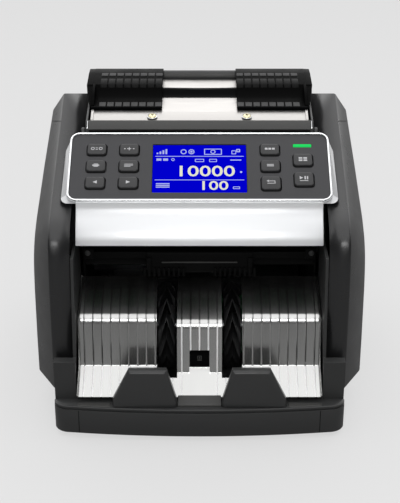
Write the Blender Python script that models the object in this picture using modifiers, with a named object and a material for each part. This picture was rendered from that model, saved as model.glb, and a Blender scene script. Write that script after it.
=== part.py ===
"""Banknote counting machine: the frame, covers, note path, control panel and everything that moves.

Units: the script works in millimetres through at() and writes metres. +Z is up, the front faces -Y.
Side profiles are lists of (y, h): y runs back from the lip of the note tray, h up from it.
The row origin is the centre of the object's footprint, on the surface that it stands on.
"""

import math

import bmesh
import bpy
from mathutils import Matrix, Vector

for old in list(bpy.data.objects):
    bpy.data.objects.remove(old, do_unlink=True)

# ---------------------------------------------------------------- driving dimensions, mm
MM = 0.001
LIP_Y, LIP_H = -110.0, 34.0  # the tray lip in the row frame
GAP = 0.3  # between touching pieces

FRONT_Y, REAR_Y = -12.0, 232.0
BASE_HALF = 116.5
BUMPER_HALF = 117.0
COVER_HALF, COVER_HALF_REAR = 134.0, 129.0
COVER_EDGE = 118.0  # where the flat front and top of a side cover turn into its bevel
WALL = 2.5
POCKET_HALF = 98.3
PLATE_T = 1.0
FOOT_R, FOOT_H = 9.0, 3.2
BASE_BOTTOM, BASE_TOP = -30.5, -4.0

PANEL_Y, PANEL_H = 58.0, 146.0  # lower edge of the control panel's face
PANEL_ANGLE = math.atan2(36.0, 59.0)
PANEL_HALF, PANEL_TOP = 106.0, 68.9
PANEL_R = 8.0
BUTTON_TRAVEL = 1.0
BUTTON_COLUMNS = (57.3, 83.8)
BUTTON_ROWS = (17.2, 34.0, 51.0)
BUTTON_W, BUTTON_L = 15.4, 11.0
DISPLAY_W, DISPLAY_V0, DISPLAY_V1 = 76.6, 8.0, 57.2

HINGE = (122.2, 181.6)  # front cover's hinge line
HINGE_R = 1.5
STACKER = (60.0, 33.0)
STACKER_R, STACKER_X, STACKER_W = 37.0, 26.6, 12.0
EXIT = (93.0, 88.0)
FEED = (110.0, 128.0)
PICKUP = (136.0, 160.0)
MOTOR = (165.0, 60.0)
SHAFT_R = 4.0
DRIVE_PULLEYS = {"motor": 9.0, "feed": 15.0, "stacker": 13.0}
RAIL_Y0, RAIL_Y1, RAIL_H0, RAIL_H1 = 198.0, 204.0, 200.5, 210.0
GUIDE_INNER, GUIDE_OUTER, GUIDE_TOP_OUTER = 31.6, 91.2, 98.0
SWITCH_PIVOT = (227.5, 14.0)
SWITCH_TILT = math.radians(10)

# ---------------------------------------------------------------- collections and materials
scene = bpy.context.scene
parts = bpy.data.collections.new("banknote_counting_machine")
cutters = bpy.data.collections.new("banknote_counting_machine_cutters")
scene.collection.children.link(parts)
scene.collection.children.link(cutters)


def material(name, color, roughness, metallic=0.0):
    made = bpy.data.materials.new(name)
    made.use_nodes = True
    shader = made.node_tree.nodes["Principled BSDF"]
    shader.inputs["Base Color"].default_value = (*color, 1)
    shader.inputs["Roughness"].default_value = roughness
    shader.inputs["Metallic"].default_value = metallic
    return made


def at(x, y, h):
    """A point in the row frame, in metres, from millimetres about the tray lip."""
    return Vector((x, y + LIP_Y, h + LIP_H)) * MM


def add(name, mesh, finish, cutter=False):
    obj = bpy.data.objects.new(name, mesh)
    (cutters if cutter else parts).objects.link(obj)
    if finish:
        mesh.materials.append(finish)
    if cutter:
        obj.hide_render = True
        obj.display_type = "WIRE"
    return obj


def smooth(obj, degrees=35):
    obj.data.shade_smooth()
    obj.data.set_sharp_from_angle(angle=math.radians(degrees))
    return obj


# ---------------------------------------------------------------- modelling helpers
def flat(name, loops, thickness, matrix, finish=None, cutter=False):
    """A flat outline, the later loops being holes in the first, extruded both ways from its plane."""
    data = bpy.data.curves.new(name + "_outline", "CURVE")
    data.dimensions = "2D"
    data.fill_mode = "BOTH"
    data.extrude = thickness / 2 * MM
    for loop in loops:
        line = data.splines.new("POLY")
        line.points.add(len(loop) - 1)
        for point, (a, b) in zip(line.points, loop):
            point.co = (a * MM, b * MM, 0, 1)
        line.use_cyclic_u = True
    guide = bpy.data.objects.new(name + "_outline", data)
    scene.collection.objects.link(guide)
    graph = bpy.context.evaluated_depsgraph_get()
    mesh = bpy.data.meshes.new_from_object(guide.evaluated_get(graph))
    bpy.data.objects.remove(guide, do_unlink=True)
    bpy.data.curves.remove(data)
    mesh.materials.clear()
    bm = bmesh.new()
    bm.from_mesh(mesh)
    bmesh.ops.remove_doubles(bm, verts=bm.verts, dist=1e-6)
    bmesh.ops.recalc_face_normals(bm, faces=bm.faces)
    bm.to_mesh(mesh)
    bm.free()
    mesh.name = name
    obj = add(name, mesh, finish, cutter)
    obj.matrix_world = matrix
    return obj


def prism(name, outline, x0, x1, finish=None, holes=(), cutter=False):
    """A side profile of (y, h) points carried from x0 to x1."""
    middle = (x0 + x1) / 2
    turn = Matrix(
        ((0, 0, 1, middle * MM), (1, 0, 0, LIP_Y * MM), (0, 1, 0, LIP_H * MM), (0, 0, 0, 1))
    )
    return flat(name, [outline, *holes], abs(x1 - x0), turn, finish, cutter)


def slab(name, outline, h0, h1, finish=None, cutter=False):
    """A plan outline of (x, y) points carried from h0 up to h1."""
    move = Matrix.Translation(at(0, 0, (h0 + h1) / 2))
    return flat(name, [outline], abs(h1 - h0), move, finish, cutter)


def front_plate(name, outline, y0, y1, finish=None, cutter=False):
    """A front outline of (x, h) points carried from y0 back to y1."""
    turn = Matrix(
        (
            (1, 0, 0, 0),
            (0, 0, -1, ((y0 + y1) / 2 + LIP_Y) * MM),
            (0, 1, 0, LIP_H * MM),
            (0, 0, 0, 1),
        )
    )
    return flat(name, [outline], abs(y1 - y0), turn, finish, cutter)


PANEL_MATRIX = Matrix.Translation(at(0, PANEL_Y, PANEL_H)) @ Matrix.Rotation(
    PANEL_ANGLE, 4, "X"
)


def on_panel(name, loops, n0, n1, finish=None, cutter=False):
    """Outlines of (u, v) in the panel's plane, carried from n0 to n1 along its normal."""
    lift = Matrix.Translation(Vector((0, 0, (n0 + n1) / 2 * MM)))
    return flat(name, loops, abs(n1 - n0), PANEL_MATRIX @ lift, finish, cutter)


def rounded(cx, cy, w, l, r, steps=3):
    """A rectangle's outline with round corners."""
    points = []
    for index, (sx, sy) in enumerate(((1, 1), (-1, 1), (-1, -1), (1, -1))):
        for step in range(steps + 1):
            angle = math.pi / 2 * (index + step / steps)
            points.append(
                (
                    cx + sx * (w / 2 - r) + r * math.cos(angle),
                    cy + sy * (l / 2 - r) + r * math.sin(angle),
                )
            )
    return points


def circle(cy, ch, r, steps=20):
    return [
        (cy + r * math.cos(2 * math.pi * i / steps), ch + r * math.sin(2 * math.pi * i / steps))
        for i in range(steps)
    ]


def box(name, x0, x1, y0, y1, h0, h1, finish=None, cutter=False):
    mesh = bpy.data.meshes.new(name)
    bm = bmesh.new()
    bmesh.ops.create_cube(bm, size=1)
    bmesh.ops.scale(bm, vec=Vector((x1 - x0, y1 - y0, h1 - h0)) * MM, verts=bm.verts)
    bm.to_mesh(mesh)
    bm.free()
    obj = add(name, mesh, finish, cutter)
    obj.location = at((x0 + x1) / 2, (y0 + y1) / 2, (h0 + h1) / 2)
    return obj


def bevelled(obj, width, segments=2, angle=30):
    change = obj.modifiers.new("rounded_edges", "BEVEL")
    change.width = width * MM
    change.segments = segments
    change.limit_method = "ANGLE"
    change.angle_limit = math.radians(angle)
    return smooth(obj)


def turned(name, profile, matrix, finish=None, steps=16, cutter=False):
    """A turned solid: (r, z) points run from its top to its bottom, starting and ending on the axis."""
    mesh = bpy.data.meshes.new(name)
    points = [(r * MM, 0, z * MM) for r, z in profile]
    mesh.from_pydata(points, [(i, i + 1) for i in range(len(points) - 1)], [])
    obj = add(name, mesh, finish, cutter)
    obj.matrix_world = matrix
    turn = obj.modifiers.new("turn", "SCREW")
    turn.angle = 2 * math.pi
    turn.steps = turn.render_steps = steps
    turn.use_merge_vertices = True
    turn.merge_threshold = 0.00005
    turn.use_smooth_shade = True
    return obj


def along_x(y, h):
    return Matrix.Translation(at(0, y, h)) @ Matrix.Rotation(math.pi / 2, 4, "Y")


def pin_x(name, y, h, r, x0, x1, finish=None, steps=16, cutter=False):
    return turned(
        name, [(0, x1), (r, x1), (r, x0), (0, x0)], along_x(y, h), finish, steps, cutter
    )


def boolean(obj, tool, operation):
    change = obj.modifiers.new(operation.lower() + "_" + tool.name, "BOOLEAN")
    change.operation = operation
    change.solver = "EXACT"
    change.object = tool
    return obj


def cut(obj, *tools):
    for tool in tools:
        boolean(obj, tool, "DIFFERENCE")
    return obj


def join(obj, *tools):
    for tool in tools:
        boolean(obj, tool, "UNION")
    return obj


def loop_belt(name, rollers, x0, x1, finish, inner=GAP, thick=1.5):
    """A flat belt round pulleys given as (y, h, radius)."""

    def hull(extra):
        points = sorted(
            {p for y, h, r in rollers for p in circle(y, h, r + extra, 24)}
        )

        def half(ordered):
            line = []
            for p in ordered:
                while (
                    len(line) > 1
                    and (line[-1][0] - line[-2][0]) * (p[1] - line[-2][1])
                    - (line[-1][1] - line[-2][1]) * (p[0] - line[-2][0])
                    <= 1e-6
                ):
                    line.pop()
                line.append(p)
            return line[:-1]

        return half(points) + half(points[::-1])

    return prism(name, hull(inner + thick), x0, x1, finish, [hull(inner)])


# ---------------------------------------------------------------- finishes
BLACK = material("black_plastic", (0.022, 0.022, 0.023), 0.42)
CHARCOAL = material("charcoal_plastic", (0.045, 0.046, 0.048), 0.45)
PANEL_GREY = material("panel_film", (0.062, 0.062, 0.066), 0.38)
SILVER = material("silver_paint", (0.74, 0.75, 0.76), 0.3, 0.35)
CHROME = material("chrome", (0.82, 0.83, 0.85), 0.08, 1.0)
STEEL = material("steel_plate", (0.72, 0.7, 0.67), 0.32, 1.0)
STAINLESS = material("ribbed_stainless", (0.62, 0.62, 0.61), 0.24, 1.0)
SCREEN = material("display_glass", (0.01, 0.01, 0.55), 0.12)
GREEN = material("green_lens", (0.02, 0.75, 0.12), 0.2)
RUBBER = material("rubber", (0.02, 0.02, 0.02), 0.8)
BRASS = material("brass_screw", (0.62, 0.5, 0.25), 0.35, 1.0)
BOARD = material("circuit_board", (0.02, 0.16, 0.06), 0.5)
ZINC = material("zinc_plate", (0.55, 0.56, 0.57), 0.38, 1.0)

# ---------------------------------------------------------------- base tray with the pocket's side walls
base = box("base_tray", -BASE_HALF, BASE_HALF, 10, 226.5, BASE_BOTTOM, BASE_TOP, BLACK)
cut(
    base,
    box("base_hollow", -BASE_HALF + 3, BASE_HALF - 3, 13, 223.5, BASE_BOTTOM + 3, 20, cutter=True),
)
POCKET_WALL = [
    (9, -29), (31, -29), (31, 8), (38.5, 41), (50, 53), (78, 71), (78, 110), (26, 110), (14, 28), (9, 28),
]
for side, sign in (("left", -1), ("right", 1)):
    a, b = sorted((sign * 98.9, sign * 101.4))
    wall = prism(f"{side}_pocket_wall", POCKET_WALL, a, b, cutter=True)
    a, b = sorted((sign * 98.9, sign * (BASE_HALF - 0.2)))
    post = box(f"{side}_post", a, b, 6, 14.2, BASE_BOTTOM + 0.2, 28.2, cutter=True)
    join(base, wall, post)

# ---------------------------------------------------------------- front bumper and note stops
def bumper_line():
    """Plan outline: a shallow arc across the front, round corners, straight back."""
    points = []
    for i in range(13):
        x = -104 + 208 * i / 12
        points.append((x, FRONT_Y + x * x / 1760))
    corner_y = FRONT_Y + 104 * 104 / 1760
    for i in range(1, 5):
        angle = math.pi / 2 * i / 4
        points.append((104 + 13 * math.sin(angle), corner_y + 13 * (1 - math.cos(angle)) * 0.85))
    points += [(BUMPER_HALF, 5.6), (-BUMPER_HALF, 5.6)]
    for i in range(4, 0, -1):
        angle = math.pi / 2 * i / 4
        points.append((-104 - 13 * math.sin(angle), corner_y + 13 * (1 - math.cos(angle)) * 0.85))
    return points


bumper = slab("front_bumper", bumper_line(), BASE_BOTTOM, -5, BLACK)
join(bumper, prism("thumb_ledge", [(-6.8, -9), (-6.8, -3.7), (-1.0, 3.0), (-1.0, -9)], -17.6, 17.6, cutter=True))
cut(bumper, box("bumper_hollow", -99, 99, -3.0, 8, BASE_BOTTOM + 3, -9.5, cutter=True))

for side, sign in (("left", -1), ("right", 1)):
    outline = [(sign * x, h) for x, h in ((69.4, -4.7), (69.0, 0.5), (55.7, 28.0), (26.4, 28.0), (18.1, -1.5), (18.1, -4.7))]
    stop = front_plate(f"{side}_note_stop", outline, -8, -0.6, BLACK)
    bevelled(stop, 1.0, 1)

# ---------------------------------------------------------------- side covers
# Round the profile: (y, h) where the flat faces end, (y, h) on the outermost edge.
STATIONS = [
    ((18.2, -3.0), (45.7, -2.0), 101.8),
    ((19.0, 30.0), (46.2, 28.0), 101.8),
    ((20.5, 77.0), (48.8, 71.0), 101.8),
    ((23.6, 103.0), (51.6, 87.0), 101.8),
    ((27.6, 119.0), (55.2, 97.5), 101.8),
    ((33.5, 128.0), (60.0, 104.5), 101.8),
    ((43.0, 135.0), (67.0, 112.5), 101.8),
    ((59.0, 142.0), (80.0, 121.5), 101.8),
    ((118.0, 167.3), (128.0, 145.0), 101.8),
    ((122.0, 169.0), (132.0, 146.9), 95.5),
    ((183.0, 195.0), (196.0, 175.5), 95.5),
    ((206.0, 182.0), (207.0, 166.0), 98.8),
    ((226.0, 150.0), (220.0, 140.0), 98.8),
    ((232.0, 115.0), (226.0, 108.0), 98.8),
    ((232.0, -3.0), (226.0, -2.0), 98.8),
]


def side_cover(side, sign):
    """A bevelled shell, open on its inner side."""
    mesh = bpy.data.meshes.new(f"{side}_side_cover")
    bm = bmesh.new()

    def half_at(y):
        return COVER_HALF - (COVER_HALF - COVER_HALF_REAR) * max(0, y - 60) / (REAR_Y - 60)

    rings = [[], [], []]
    for (y, h), (oy, oh), rim in STATIONS:
        rings[0].append(bm.verts.new(at(sign * rim, y, h)))
        rings[1].append(bm.verts.new(at(sign * COVER_EDGE, y, h)))
        rings[2].append(bm.verts.new(at(sign * half_at(oy), oy, oh)))
    count = len(STATIONS)
    for inner, outer in ((0, 1), (1, 2)):
        for i in range(count):
            j = (i + 1) % count
            bm.faces.new((rings[inner][i], rings[inner][j], rings[outer][j], rings[outer][i]))
    bm.faces.new(rings[2])
    bmesh.ops.recalc_face_normals(bm, faces=bm.faces)
    bm.faces.ensure_lookup_table()
    if bm.faces[-1].normal.x * sign < 0:
        bmesh.ops.reverse_faces(bm, faces=bm.faces)
    bm.to_mesh(mesh)
    bm.free()
    obj = add(f"{side}_side_cover", mesh, CHARCOAL)
    shell = obj.modifiers.new("wall", "SOLIDIFY")
    shell.thickness = WALL * MM
    shell.offset = -1
    shell.use_even_offset = True
    return smooth(obj, 30)


side_cover("left", -1)
side_cover("right", 1)

# ---------------------------------------------------------------- rear cover with the inlet and the switch
rear = prism(
    "rear_cover",
    [
        (229.5, -27), (229.5, 115), (223.5, 148), (212.5, 178), (209.8, 203),
        (207.3, 203), (210.1, 177.3), (221.1, 147.3), (227.0, 114.7), (227.0, -27),
    ],
    -98.4, 98.4, CHARCOAL,
)
cut(
    rear,
    box("inlet_hole", -82, -54, 220, 240, 4, 24, cutter=True),
    box("switch_hole", -45, -31, 220, 240, 4, 24, cutter=True),
)
for i in range(7):
    cut(rear, box(f"vent_{i}", 20, 75, 220, 240, 60 + 7 * i, 63 + 7 * i, cutter=True))

inlet = box("power_inlet", -84, -52, 229.8, 232, 1, 27, BLACK)
join(inlet, box("inlet_body", -81.6, -54.4, 212, 230.6, 4.4, 23.6, cutter=True))
cut(inlet, box("inlet_socket", -80, -56, 216, 240, 6, 22, cutter=True))

switch_frame = box("switch_frame", -47, -29, 229.8, 232, 2, 26, BLACK)
join(switch_frame, box("switch_body", -44.6, -31.4, 214, 230.6, 4.4, 23.6, cutter=True))
cut(switch_frame, box("switch_pocket", -43, -33, 217, 240, 6, 22, cutter=True))

ROCKER = [(2.5, 7.0), (3.9, 0.6), (3.9, -0.6), (2.5, -7.0), (-5.0, -4.2), (-5.0, 4.2)]
rocker = prism("power_switch", [(y, h) for y, h in ROCKER], -4.6, 4.6, BLACK)
rocker.matrix_world = (
    Matrix.Translation(at(-38, *SWITCH_PIVOT))
    @ Matrix.Rotation(SWITCH_TILT, 4, "X")
    @ Matrix(((0, 0, 1, 0), (1, 0, 0, 0), (0, 1, 0, 0), (0, 0, 0, 1)))
)

# ---------------------------------------------------------------- steel frame plates
FRAME_LINE = [
    (38, -27), (220, -27), (220, 118), (203, 160), (184, 183), (150, 171), (100, 150), (80, 141.5),
    (80, 66), (76, 63.3), (50, 52.8), (38, 40),
]
for side, sign in (("left", -1), ("right", 1)):
    a, b = sorted((sign * 95.2, sign * 96.7))
    holes = [circle(*spot, SHAFT_R + 0.4, 16) for spot in (STACKER, EXIT, FEED, PICKUP)]
    if side == "left":
        holes.append(circle(*MOTOR, 3.5, 16))
    prism(f"{side}_frame_plate", FRAME_LINE, a, b, ZINC, holes)

# ---------------------------------------------------------------- hopper: frame, plate, screws, rest, rail, guides
def plate_top(y):
    return 192.0 + (y - 142.0) * 0.2115


deck = prism(
    "hopper_frame",
    [(119.0, 184.4), (126.5, 189.8), (127.5, 188.3), (120.2, 182.9)],
    -94.5, 94.5, BLACK,
)
HOPPER_SIDE = [
    (119.4, 178.6), (119.4, 184.5), (126.3, 189.5), (130.5, 190.4), (142, plate_top(142) + 0.6),
    (196.4, plate_top(196.4) + 0.6), (196.6, 209.9), (206.5, 209.9), (206.5, 189), (190, 186), (126, 171.5), (121, 174.5),
]
for side, sign in (("left", -1), ("right", 1)):
    a, b = sorted((sign * 91.5, sign * 94.3))
    join(deck, prism(f"{side}_hopper_wall", HOPPER_SIDE, a, b, cutter=True))
join(deck, box("hopper_back", -93, 93, 204.5, 206.3, 190, 203.5, cutter=True))
cut(deck, pin_x("hinge_rod_hole", *HINGE, HINGE_R + GAP, -97, 97, cutter=True))

PLATE_LINE = [(127.4, 176.0), (128.9, 185.6), (131.2, 189.4), (142.0, 192.0), (196.0, plate_top(196))]
UNDER_LINE = [(196.2, plate_top(196) - PLATE_T), (142.2, 191.0), (131.8, 188.5), (129.8, 185.2), (128.4, 175.9)]
plate = prism("hopper_plate", PLATE_LINE + UNDER_LINE, -91, 91, STEEL)
for side, sign in (("left", -1), ("right", 1)):
    spot = (134.6, plate_top(134.6) - 0.05)
    lean = Matrix.Translation(at(sign * 39.5, *spot)) @ Matrix.Rotation(math.atan(0.2115), 4, "X")
    cut(
        plate,
        turned(f"{side}_screw_hole", [(0, 8), (2.2, 8), (2.2, -8), (0, -8)], lean, steps=12, cutter=True),
    )
    turned(
        f"{side}_plate_screw",
        [(0, 1.5), (2.6, 1.5), (3.6, 0.9), (3.6, 0.35), (1.9, 0.35), (1.9, -5), (0, -5)],
        lean, BRASS, steps=16,
    )

prism(
    "note_rest",
    [(165, 197.2), (168, 198.2), (170.5, 200.7), (171.3, 204.4), (175, 204.4), (175, 199.4)],
    -91, 91, BLACK,
)
rail = box("guide_rail", -91.2, 91.2, RAIL_Y0, RAIL_Y1, RAIL_H0, RAIL_H1, BLACK)
bevelled(rail, 1.5, 2)

GUIDE_LINE = [
    (148, 193.8), (148.4, 197.4), (157, 198.9), (161, 200.2), (164, 202.9), (166.2, 207.0), (167.5, 208.6),
    (196.5, 213.5), (203.6, 213.5), (203.6, 210.7), (195.9, 210.7), (195.2, 206.8), (176.3, 205.2),
    (170.2, 205.2), (169.6, 201.4), (167.2, 199.1), (163.5, 197.2),
]
GUIDE_END = [
    (166.6, 207.2), (167.7, 208.4), (196.5, 213.3), (203.4, 213.3), (203.4, 210.9), (195.7, 210.9), (195.0, 207.0), (170.4, 205.6),
]
GUIDE_CHEEK = [(149.5, 194.6), (150, 198.2), (158, 204.6), (168, 208.2), (169.5, 205.0), (168.4, 200.6), (163.3, 197.6)]
for side, sign in (("left", -1), ("right", 1)):
    a, b = sorted((sign * GUIDE_INNER, sign * GUIDE_OUTER))
    guide = prism(f"{side}_note_guide", GUIDE_LINE, a, b, BLACK)
    a, b = sorted((sign * 85, sign * GUIDE_TOP_OUTER))
    end = prism(f"{side}_guide_end", GUIDE_END, a, b, cutter=True)
    a, b = sorted((sign * 88.6, sign * 91.0))
    join(guide, end, prism(f"{side}_guide_cheek", GUIDE_CHEEK, a, b, cutter=True))

# ---------------------------------------------------------------- front cover: wedge round the panel, and apron
def on_slope(y, lift=0.6):
    """Height of the side covers' top slope, plus a lift."""
    return 142.0 + (y - 59.0) * (167.3 - 142.0) / 59.0 + lift


def panel_point(v, n):
    c, s = math.cos(PANEL_ANGLE), math.sin(PANEL_ANGLE)
    return (PANEL_Y + v * c - n * s, PANEL_H + v * s + n * c)


cover = prism(
    "front_cover",
    [(56.8, on_slope(56.8)), (117.4, on_slope(117.4)), panel_point(69.2, -2.0), panel_point(-0.9, -2.0)],
    -110.4, 110.4, SILVER,
)
for vertex in cover.data.vertices:  # the sides lean in towards the panel's frame
    lean_x = vertex.co.z / MM
    if vertex.co.y / MM > on_slope(vertex.co.x / MM) + 1.0:
        vertex.co.z = math.copysign(PANEL_HALF + 0.6, lean_x) * MM
cut(
    cover,
    on_panel("panel_hollow", [[(-103.8, 2.2), (103.8, 2.2), (103.8, 66.6), (-103.8, 66.6)]], -40, 8, cutter=True),
)
APRON = [
    (42.0, 113.6), (43.2, 118.6), (45.8, 124.0), (49.6, 129.6), (54.2, 135.0), (57.4, 140.0), (57.9, 143.4),
    (60.6, 143.6), (60.3, 139.2), (57.2, 133.3), (52.3, 127.6), (48.4, 122.4), (46.0, 117.8), (44.9, 113.6),
]
join(cover, prism("apron", APRON, -98.4, 98.4, cutter=True))
EAR = [
    (112.5, 172.5), (118.5, 172.5), (124.6, 178.8), (125.6, 181.6), (124.6, 184.0), (122.2, 185.0),
    (119.8, 184.0), (118.8, 181.8), (118.0, 179.9), (112.5, 176.0),
]
for side, sign in (("left", -1), ("right", 1)):
    a, b = sorted((sign * 94.9, sign * 97.6))
    join(cover, prism(f"{side}_hinge_ear", EAR, a, b, cutter=True))
cut(cover, pin_x("ear_hole", *HINGE, HINGE_R + GAP, -99, 99, cutter=True))

pin_x("cover_hinge_rod", *HINGE, HINGE_R, -98.4, 98.4, ZINC, 14)

V0, V1 = -0.5, PANEL_TOP
on_panel(
    "panel_bezel",
    [
        rounded(0, (V0 + V1) / 2, 2 * PANEL_HALF, V1 - V0, PANEL_R, 5),
        rounded(0, (V0 + V1) / 2, 2 * PANEL_HALF - 3.4, V1 - V0 - 3.4, PANEL_R - 1.7, 5),
    ],
    -1.7, 1.2, CHROME,
)

BUTTONS = {}
for row, letter in zip(BUTTON_ROWS, "cba"):
    for column, number in ((-BUTTON_COLUMNS[1], 1), (-BUTTON_COLUMNS[0], 2)):
        BUTTONS[f"button_left_{letter}{number}"] = (column, row, BUTTON_L)
BUTTONS["button_right_a1"] = (BUTTON_COLUMNS[0], BUTTON_ROWS[2], BUTTON_L)
BUTTONS["button_right_b1"] = (BUTTON_COLUMNS[0], BUTTON_ROWS[1], BUTTON_L)
BUTTONS["button_right_c1"] = (BUTTON_COLUMNS[0], BUTTON_ROWS[0] - 0.6, 13.0)
BUTTONS["button_right_a2"] = (BUTTON_COLUMNS[1], 40.2, BUTTON_L + 1)
BUTTONS["button_right_b2"] = (BUTTON_COLUMNS[1], 20.6, 13.4)

HOLE = 0.4
holes = [
    rounded(u, v, BUTTON_W + 2 * HOLE, length + 2 * HOLE, 2.4, 2)
    for u, v, length in BUTTONS.values()
]
DISPLAY_V = (DISPLAY_V0 + DISPLAY_V1) / 2
DISPLAY_L = DISPLAY_V1 - DISPLAY_V0
holes.append(rounded(0, DISPLAY_V, DISPLAY_W, DISPLAY_L, 0.8, 1))
LENS = (84.0, 55.6, 15.6, 3.4)
holes.append(rounded(*LENS, 0.8, 1))
on_panel(
    "control_panel",
    [
        rounded(0, (V0 + V1) / 2, 2 * PANEL_HALF - 4.0, V1 - V0 - 4.0, PANEL_R - 2.0, 5),
        *holes,
    ],
    -1.7, 0.0, PANEL_GREY,
)
on_panel("display", [rounded(0, DISPLAY_V, DISPLAY_W - 0.6, DISPLAY_L - 0.6, 0.6, 1)], -5.0, -0.3, SCREEN)
on_panel(
    "indicator_lens",
    [rounded(LENS[0], LENS[1], LENS[2] - 0.6, LENS[3] - 0.6, 0.6, 1)],
    -4.0, 0.25, GREEN,
)
on_panel("control_board", [rounded(0, 33, 184, 54, 2, 1)], -9.0, -7.4, BOARD)


def button(name, u, v, length):
    """A key cap with a bevelled top edge and a flange that keeps it under the panel."""
    mesh = bpy.data.meshes.new(name)
    bm = bmesh.new()
    rings = []
    for grow, z in ((-1.2, 0.0), (0.0, -0.7), (0.0, -3.9), (1.4, -3.9), (1.4, -5.4)):
        outline = rounded(0, 0, BUTTON_W + grow, length + grow, 2.0, 2)
        rings.append([bm.verts.new((a * MM, b * MM, z * MM)) for a, b in outline])
    bm.faces.new(rings[0])
    bm.faces.new(rings[-1][::-1])
    for upper, lower in zip(rings, rings[1:]):
        for i in range(len(upper)):
            j = (i + 1) % len(upper)
            bm.faces.new((upper[i], lower[i], lower[j], upper[j]))
    bmesh.ops.recalc_face_normals(bm, faces=bm.faces)
    bm.to_mesh(mesh)
    bm.free()
    obj = add(name, mesh, PANEL_GREY)
    obj.matrix_world = PANEL_MATRIX @ Matrix.Translation(Vector((u, v, 1.7)) * MM)
    return smooth(obj)


for name, (u, v, length) in BUTTONS.items():
    button(name, u, v, length)

# ---------------------------------------------------------------- stacker: ribbed plate, wheels, sensor
FLOOR_LINE = [
    (0, 0), (23.2, 13.5), (25.0, 15.6), (26.0, 19.0), (32.1, 45.8), (33.8, 50.1), (36.9, 53.7), (41.7, 56.5), (75, 70.3),
]
FLOOR_UNDER = [
    (75.4, 69.4), (42.1, 55.6), (37.5, 52.9), (34.7, 49.6), (33.1, 45.5), (27.0, 18.8), (25.9, 14.9), (23.8, 12.7), (0.5, -0.9),
]
CENTRE_LINE = [
    (10, 5.55), (17.0, 9.85), (19.0, 12.0), (20.0, 15.5), (25.6, 43.2), (27.2, 47.3), (30.3, 50.8), (35.1, 53.4), (68, 67.2),
]
CENTRE_UNDER = [
    (68.4, 66.5), (35.5, 52.5), (30.9, 49.9), (28.1, 46.8), (26.6, 43.0), (21.0, 15.3), (19.9, 11.5), (17.6, 9.1), (10.5, 5.25),
]
stacker_plate = prism("stacker_plate", FLOOR_LINE + FLOOR_UNDER, -POCKET_HALF, POCKET_HALF, STAINLESS)
cut(
    stacker_plate,
    box("centre_gap", -18.9, 18.9, 15, 66, -8, 90, cutter=True),
)
join(stacker_plate, prism("centre_strip", CENTRE_LINE + CENTRE_UNDER, -18.2, 18.2, cutter=True))
cut(
    stacker_plate,
    box("left_slot", -34.8, -18.4, 15, 78, -8, 90, cutter=True),
    box("right_slot", 18.4, 34.8, 15, 78, -8, 90, cutter=True),
    box("sensor_window", -8.4, 8.4, 17.4, 40, 9.4, 29.9, cutter=True),
)
join(
    stacker_plate,
    prism(
        "sensor_recess",
        [(16.0, 8.95), (21.0, 12.2), (23.0, 14.6), (24.2, 17.0), (26.95, 29.6), (22.6, 29.6), (22.6, 30.6), (28.95, 30.6),
         (25.3, 14.4), (23.9, 12.6), (21.6, 11.3), (16.4, 8.6)],
        -9.4, 9.4, cutter=True,
    ),
)
prism("stack_sensor", [(23.7, 16.9), (26.4, 29.2), (24.6, 29.2), (21.9, 16.9)], -8.0, 8.0, BLACK)


def wheel_line(blades=14, root=13.0, tip=STACKER_R, sweep=0.42, thick=0.13):
    """Outline of a fan wheel: thin blades that sweep back as they go out."""
    points = []
    for i in range(blades):
        start = 2 * math.pi * i / blades
        for step in range(4):
            t = step / 3
            r = root + (tip - root) * t
            angle = start + sweep * t * t
            points.append((r * math.cos(angle), r * math.sin(angle)))
        for step in range(3, -1, -1):
            t = step / 3
            r = root + (tip - 0.8 - root) * t
            angle = start + sweep * t * t + thick * root / r * (1.15 - 0.3 * t) + 0.03
            points.append((r * math.cos(angle), r * math.sin(angle)))
    return points


for side, sign in (("left", -1), ("right", 1)):
    outline = [(y + STACKER[0], h + STACKER[1]) for y, h in wheel_line()]
    prism(
        f"{side}_stacker_wheel",
        outline,
        sign * STACKER_X - STACKER_W / 2,
        sign * STACKER_X + STACKER_W / 2,
        RUBBER,
        [circle(*STACKER, SHAFT_R + GAP, 16)],
    )
turned(
    "stacker_shaft",
    [(0, 98), (SHAFT_R, 98), (SHAFT_R, -101.8), (13, -101.8), (13, -108), (0, -108)],
    along_x(*STACKER), ZINC, 20,
)

# ---------------------------------------------------------------- note path above the stacker
sensor_bar = box("sensor_bar", -43, 43, 64, 78, 79, 98, BLACK)
join(sensor_bar, box("sensor_bar_arms", -94.6, 94.6, 69, 75, 90, 96, cutter=True))
box("pocket_liner", -94.8, 94.8, 78.6, 80.2, 80, 136, BLACK)


def roller(name, spot, x0, x1, r, bands, pulleys, finish):
    """A shaft from x0 to x1 with roller bands and pulleys, given as (x0, x1[, r])."""
    steps = sorted([(a, b, r) for a, b in bands] + list(pulleys), reverse=True)
    profile = [(0, x1), (SHAFT_R, x1)] if not (steps and steps[0][1] >= x1) else [(0, x1)]
    for a, b, radius in steps:
        if b < x1:
            profile += [(SHAFT_R, b)]
        profile += [(radius, b), (radius, a)]
        if a > x0:
            profile += [(SHAFT_R, a)]
    if steps and steps[-1][0] <= x0:
        profile += [(0, x0)]
    else:
        profile += [(SHAFT_R, x0), (0, x0)]
    clean = [profile[0]]
    for point in profile[1:]:
        if point != clean[-1]:
            clean.append(point)
    return turned(name, clean, along_x(*spot), finish, 20)


roller("exit_roller", EXIT, -98, 105, 12, [(-60, -36), (36, 60)], [(99, 105, 9.0)], RUBBER)
roller(
    "feed_drum", FEED, -108, 113, 18, [(-50, -22), (22, 50)],
    [(-108, -101.8, DRIVE_PULLEYS["feed"]), (99, 105, 12.0), (107, 113, 9.0)], RUBBER,
)
roller("pickup_roller", PICKUP, -98, 113, 14, [(-38, -18), (18, 38)], [(107, 113, 9.0)], RUBBER)

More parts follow.
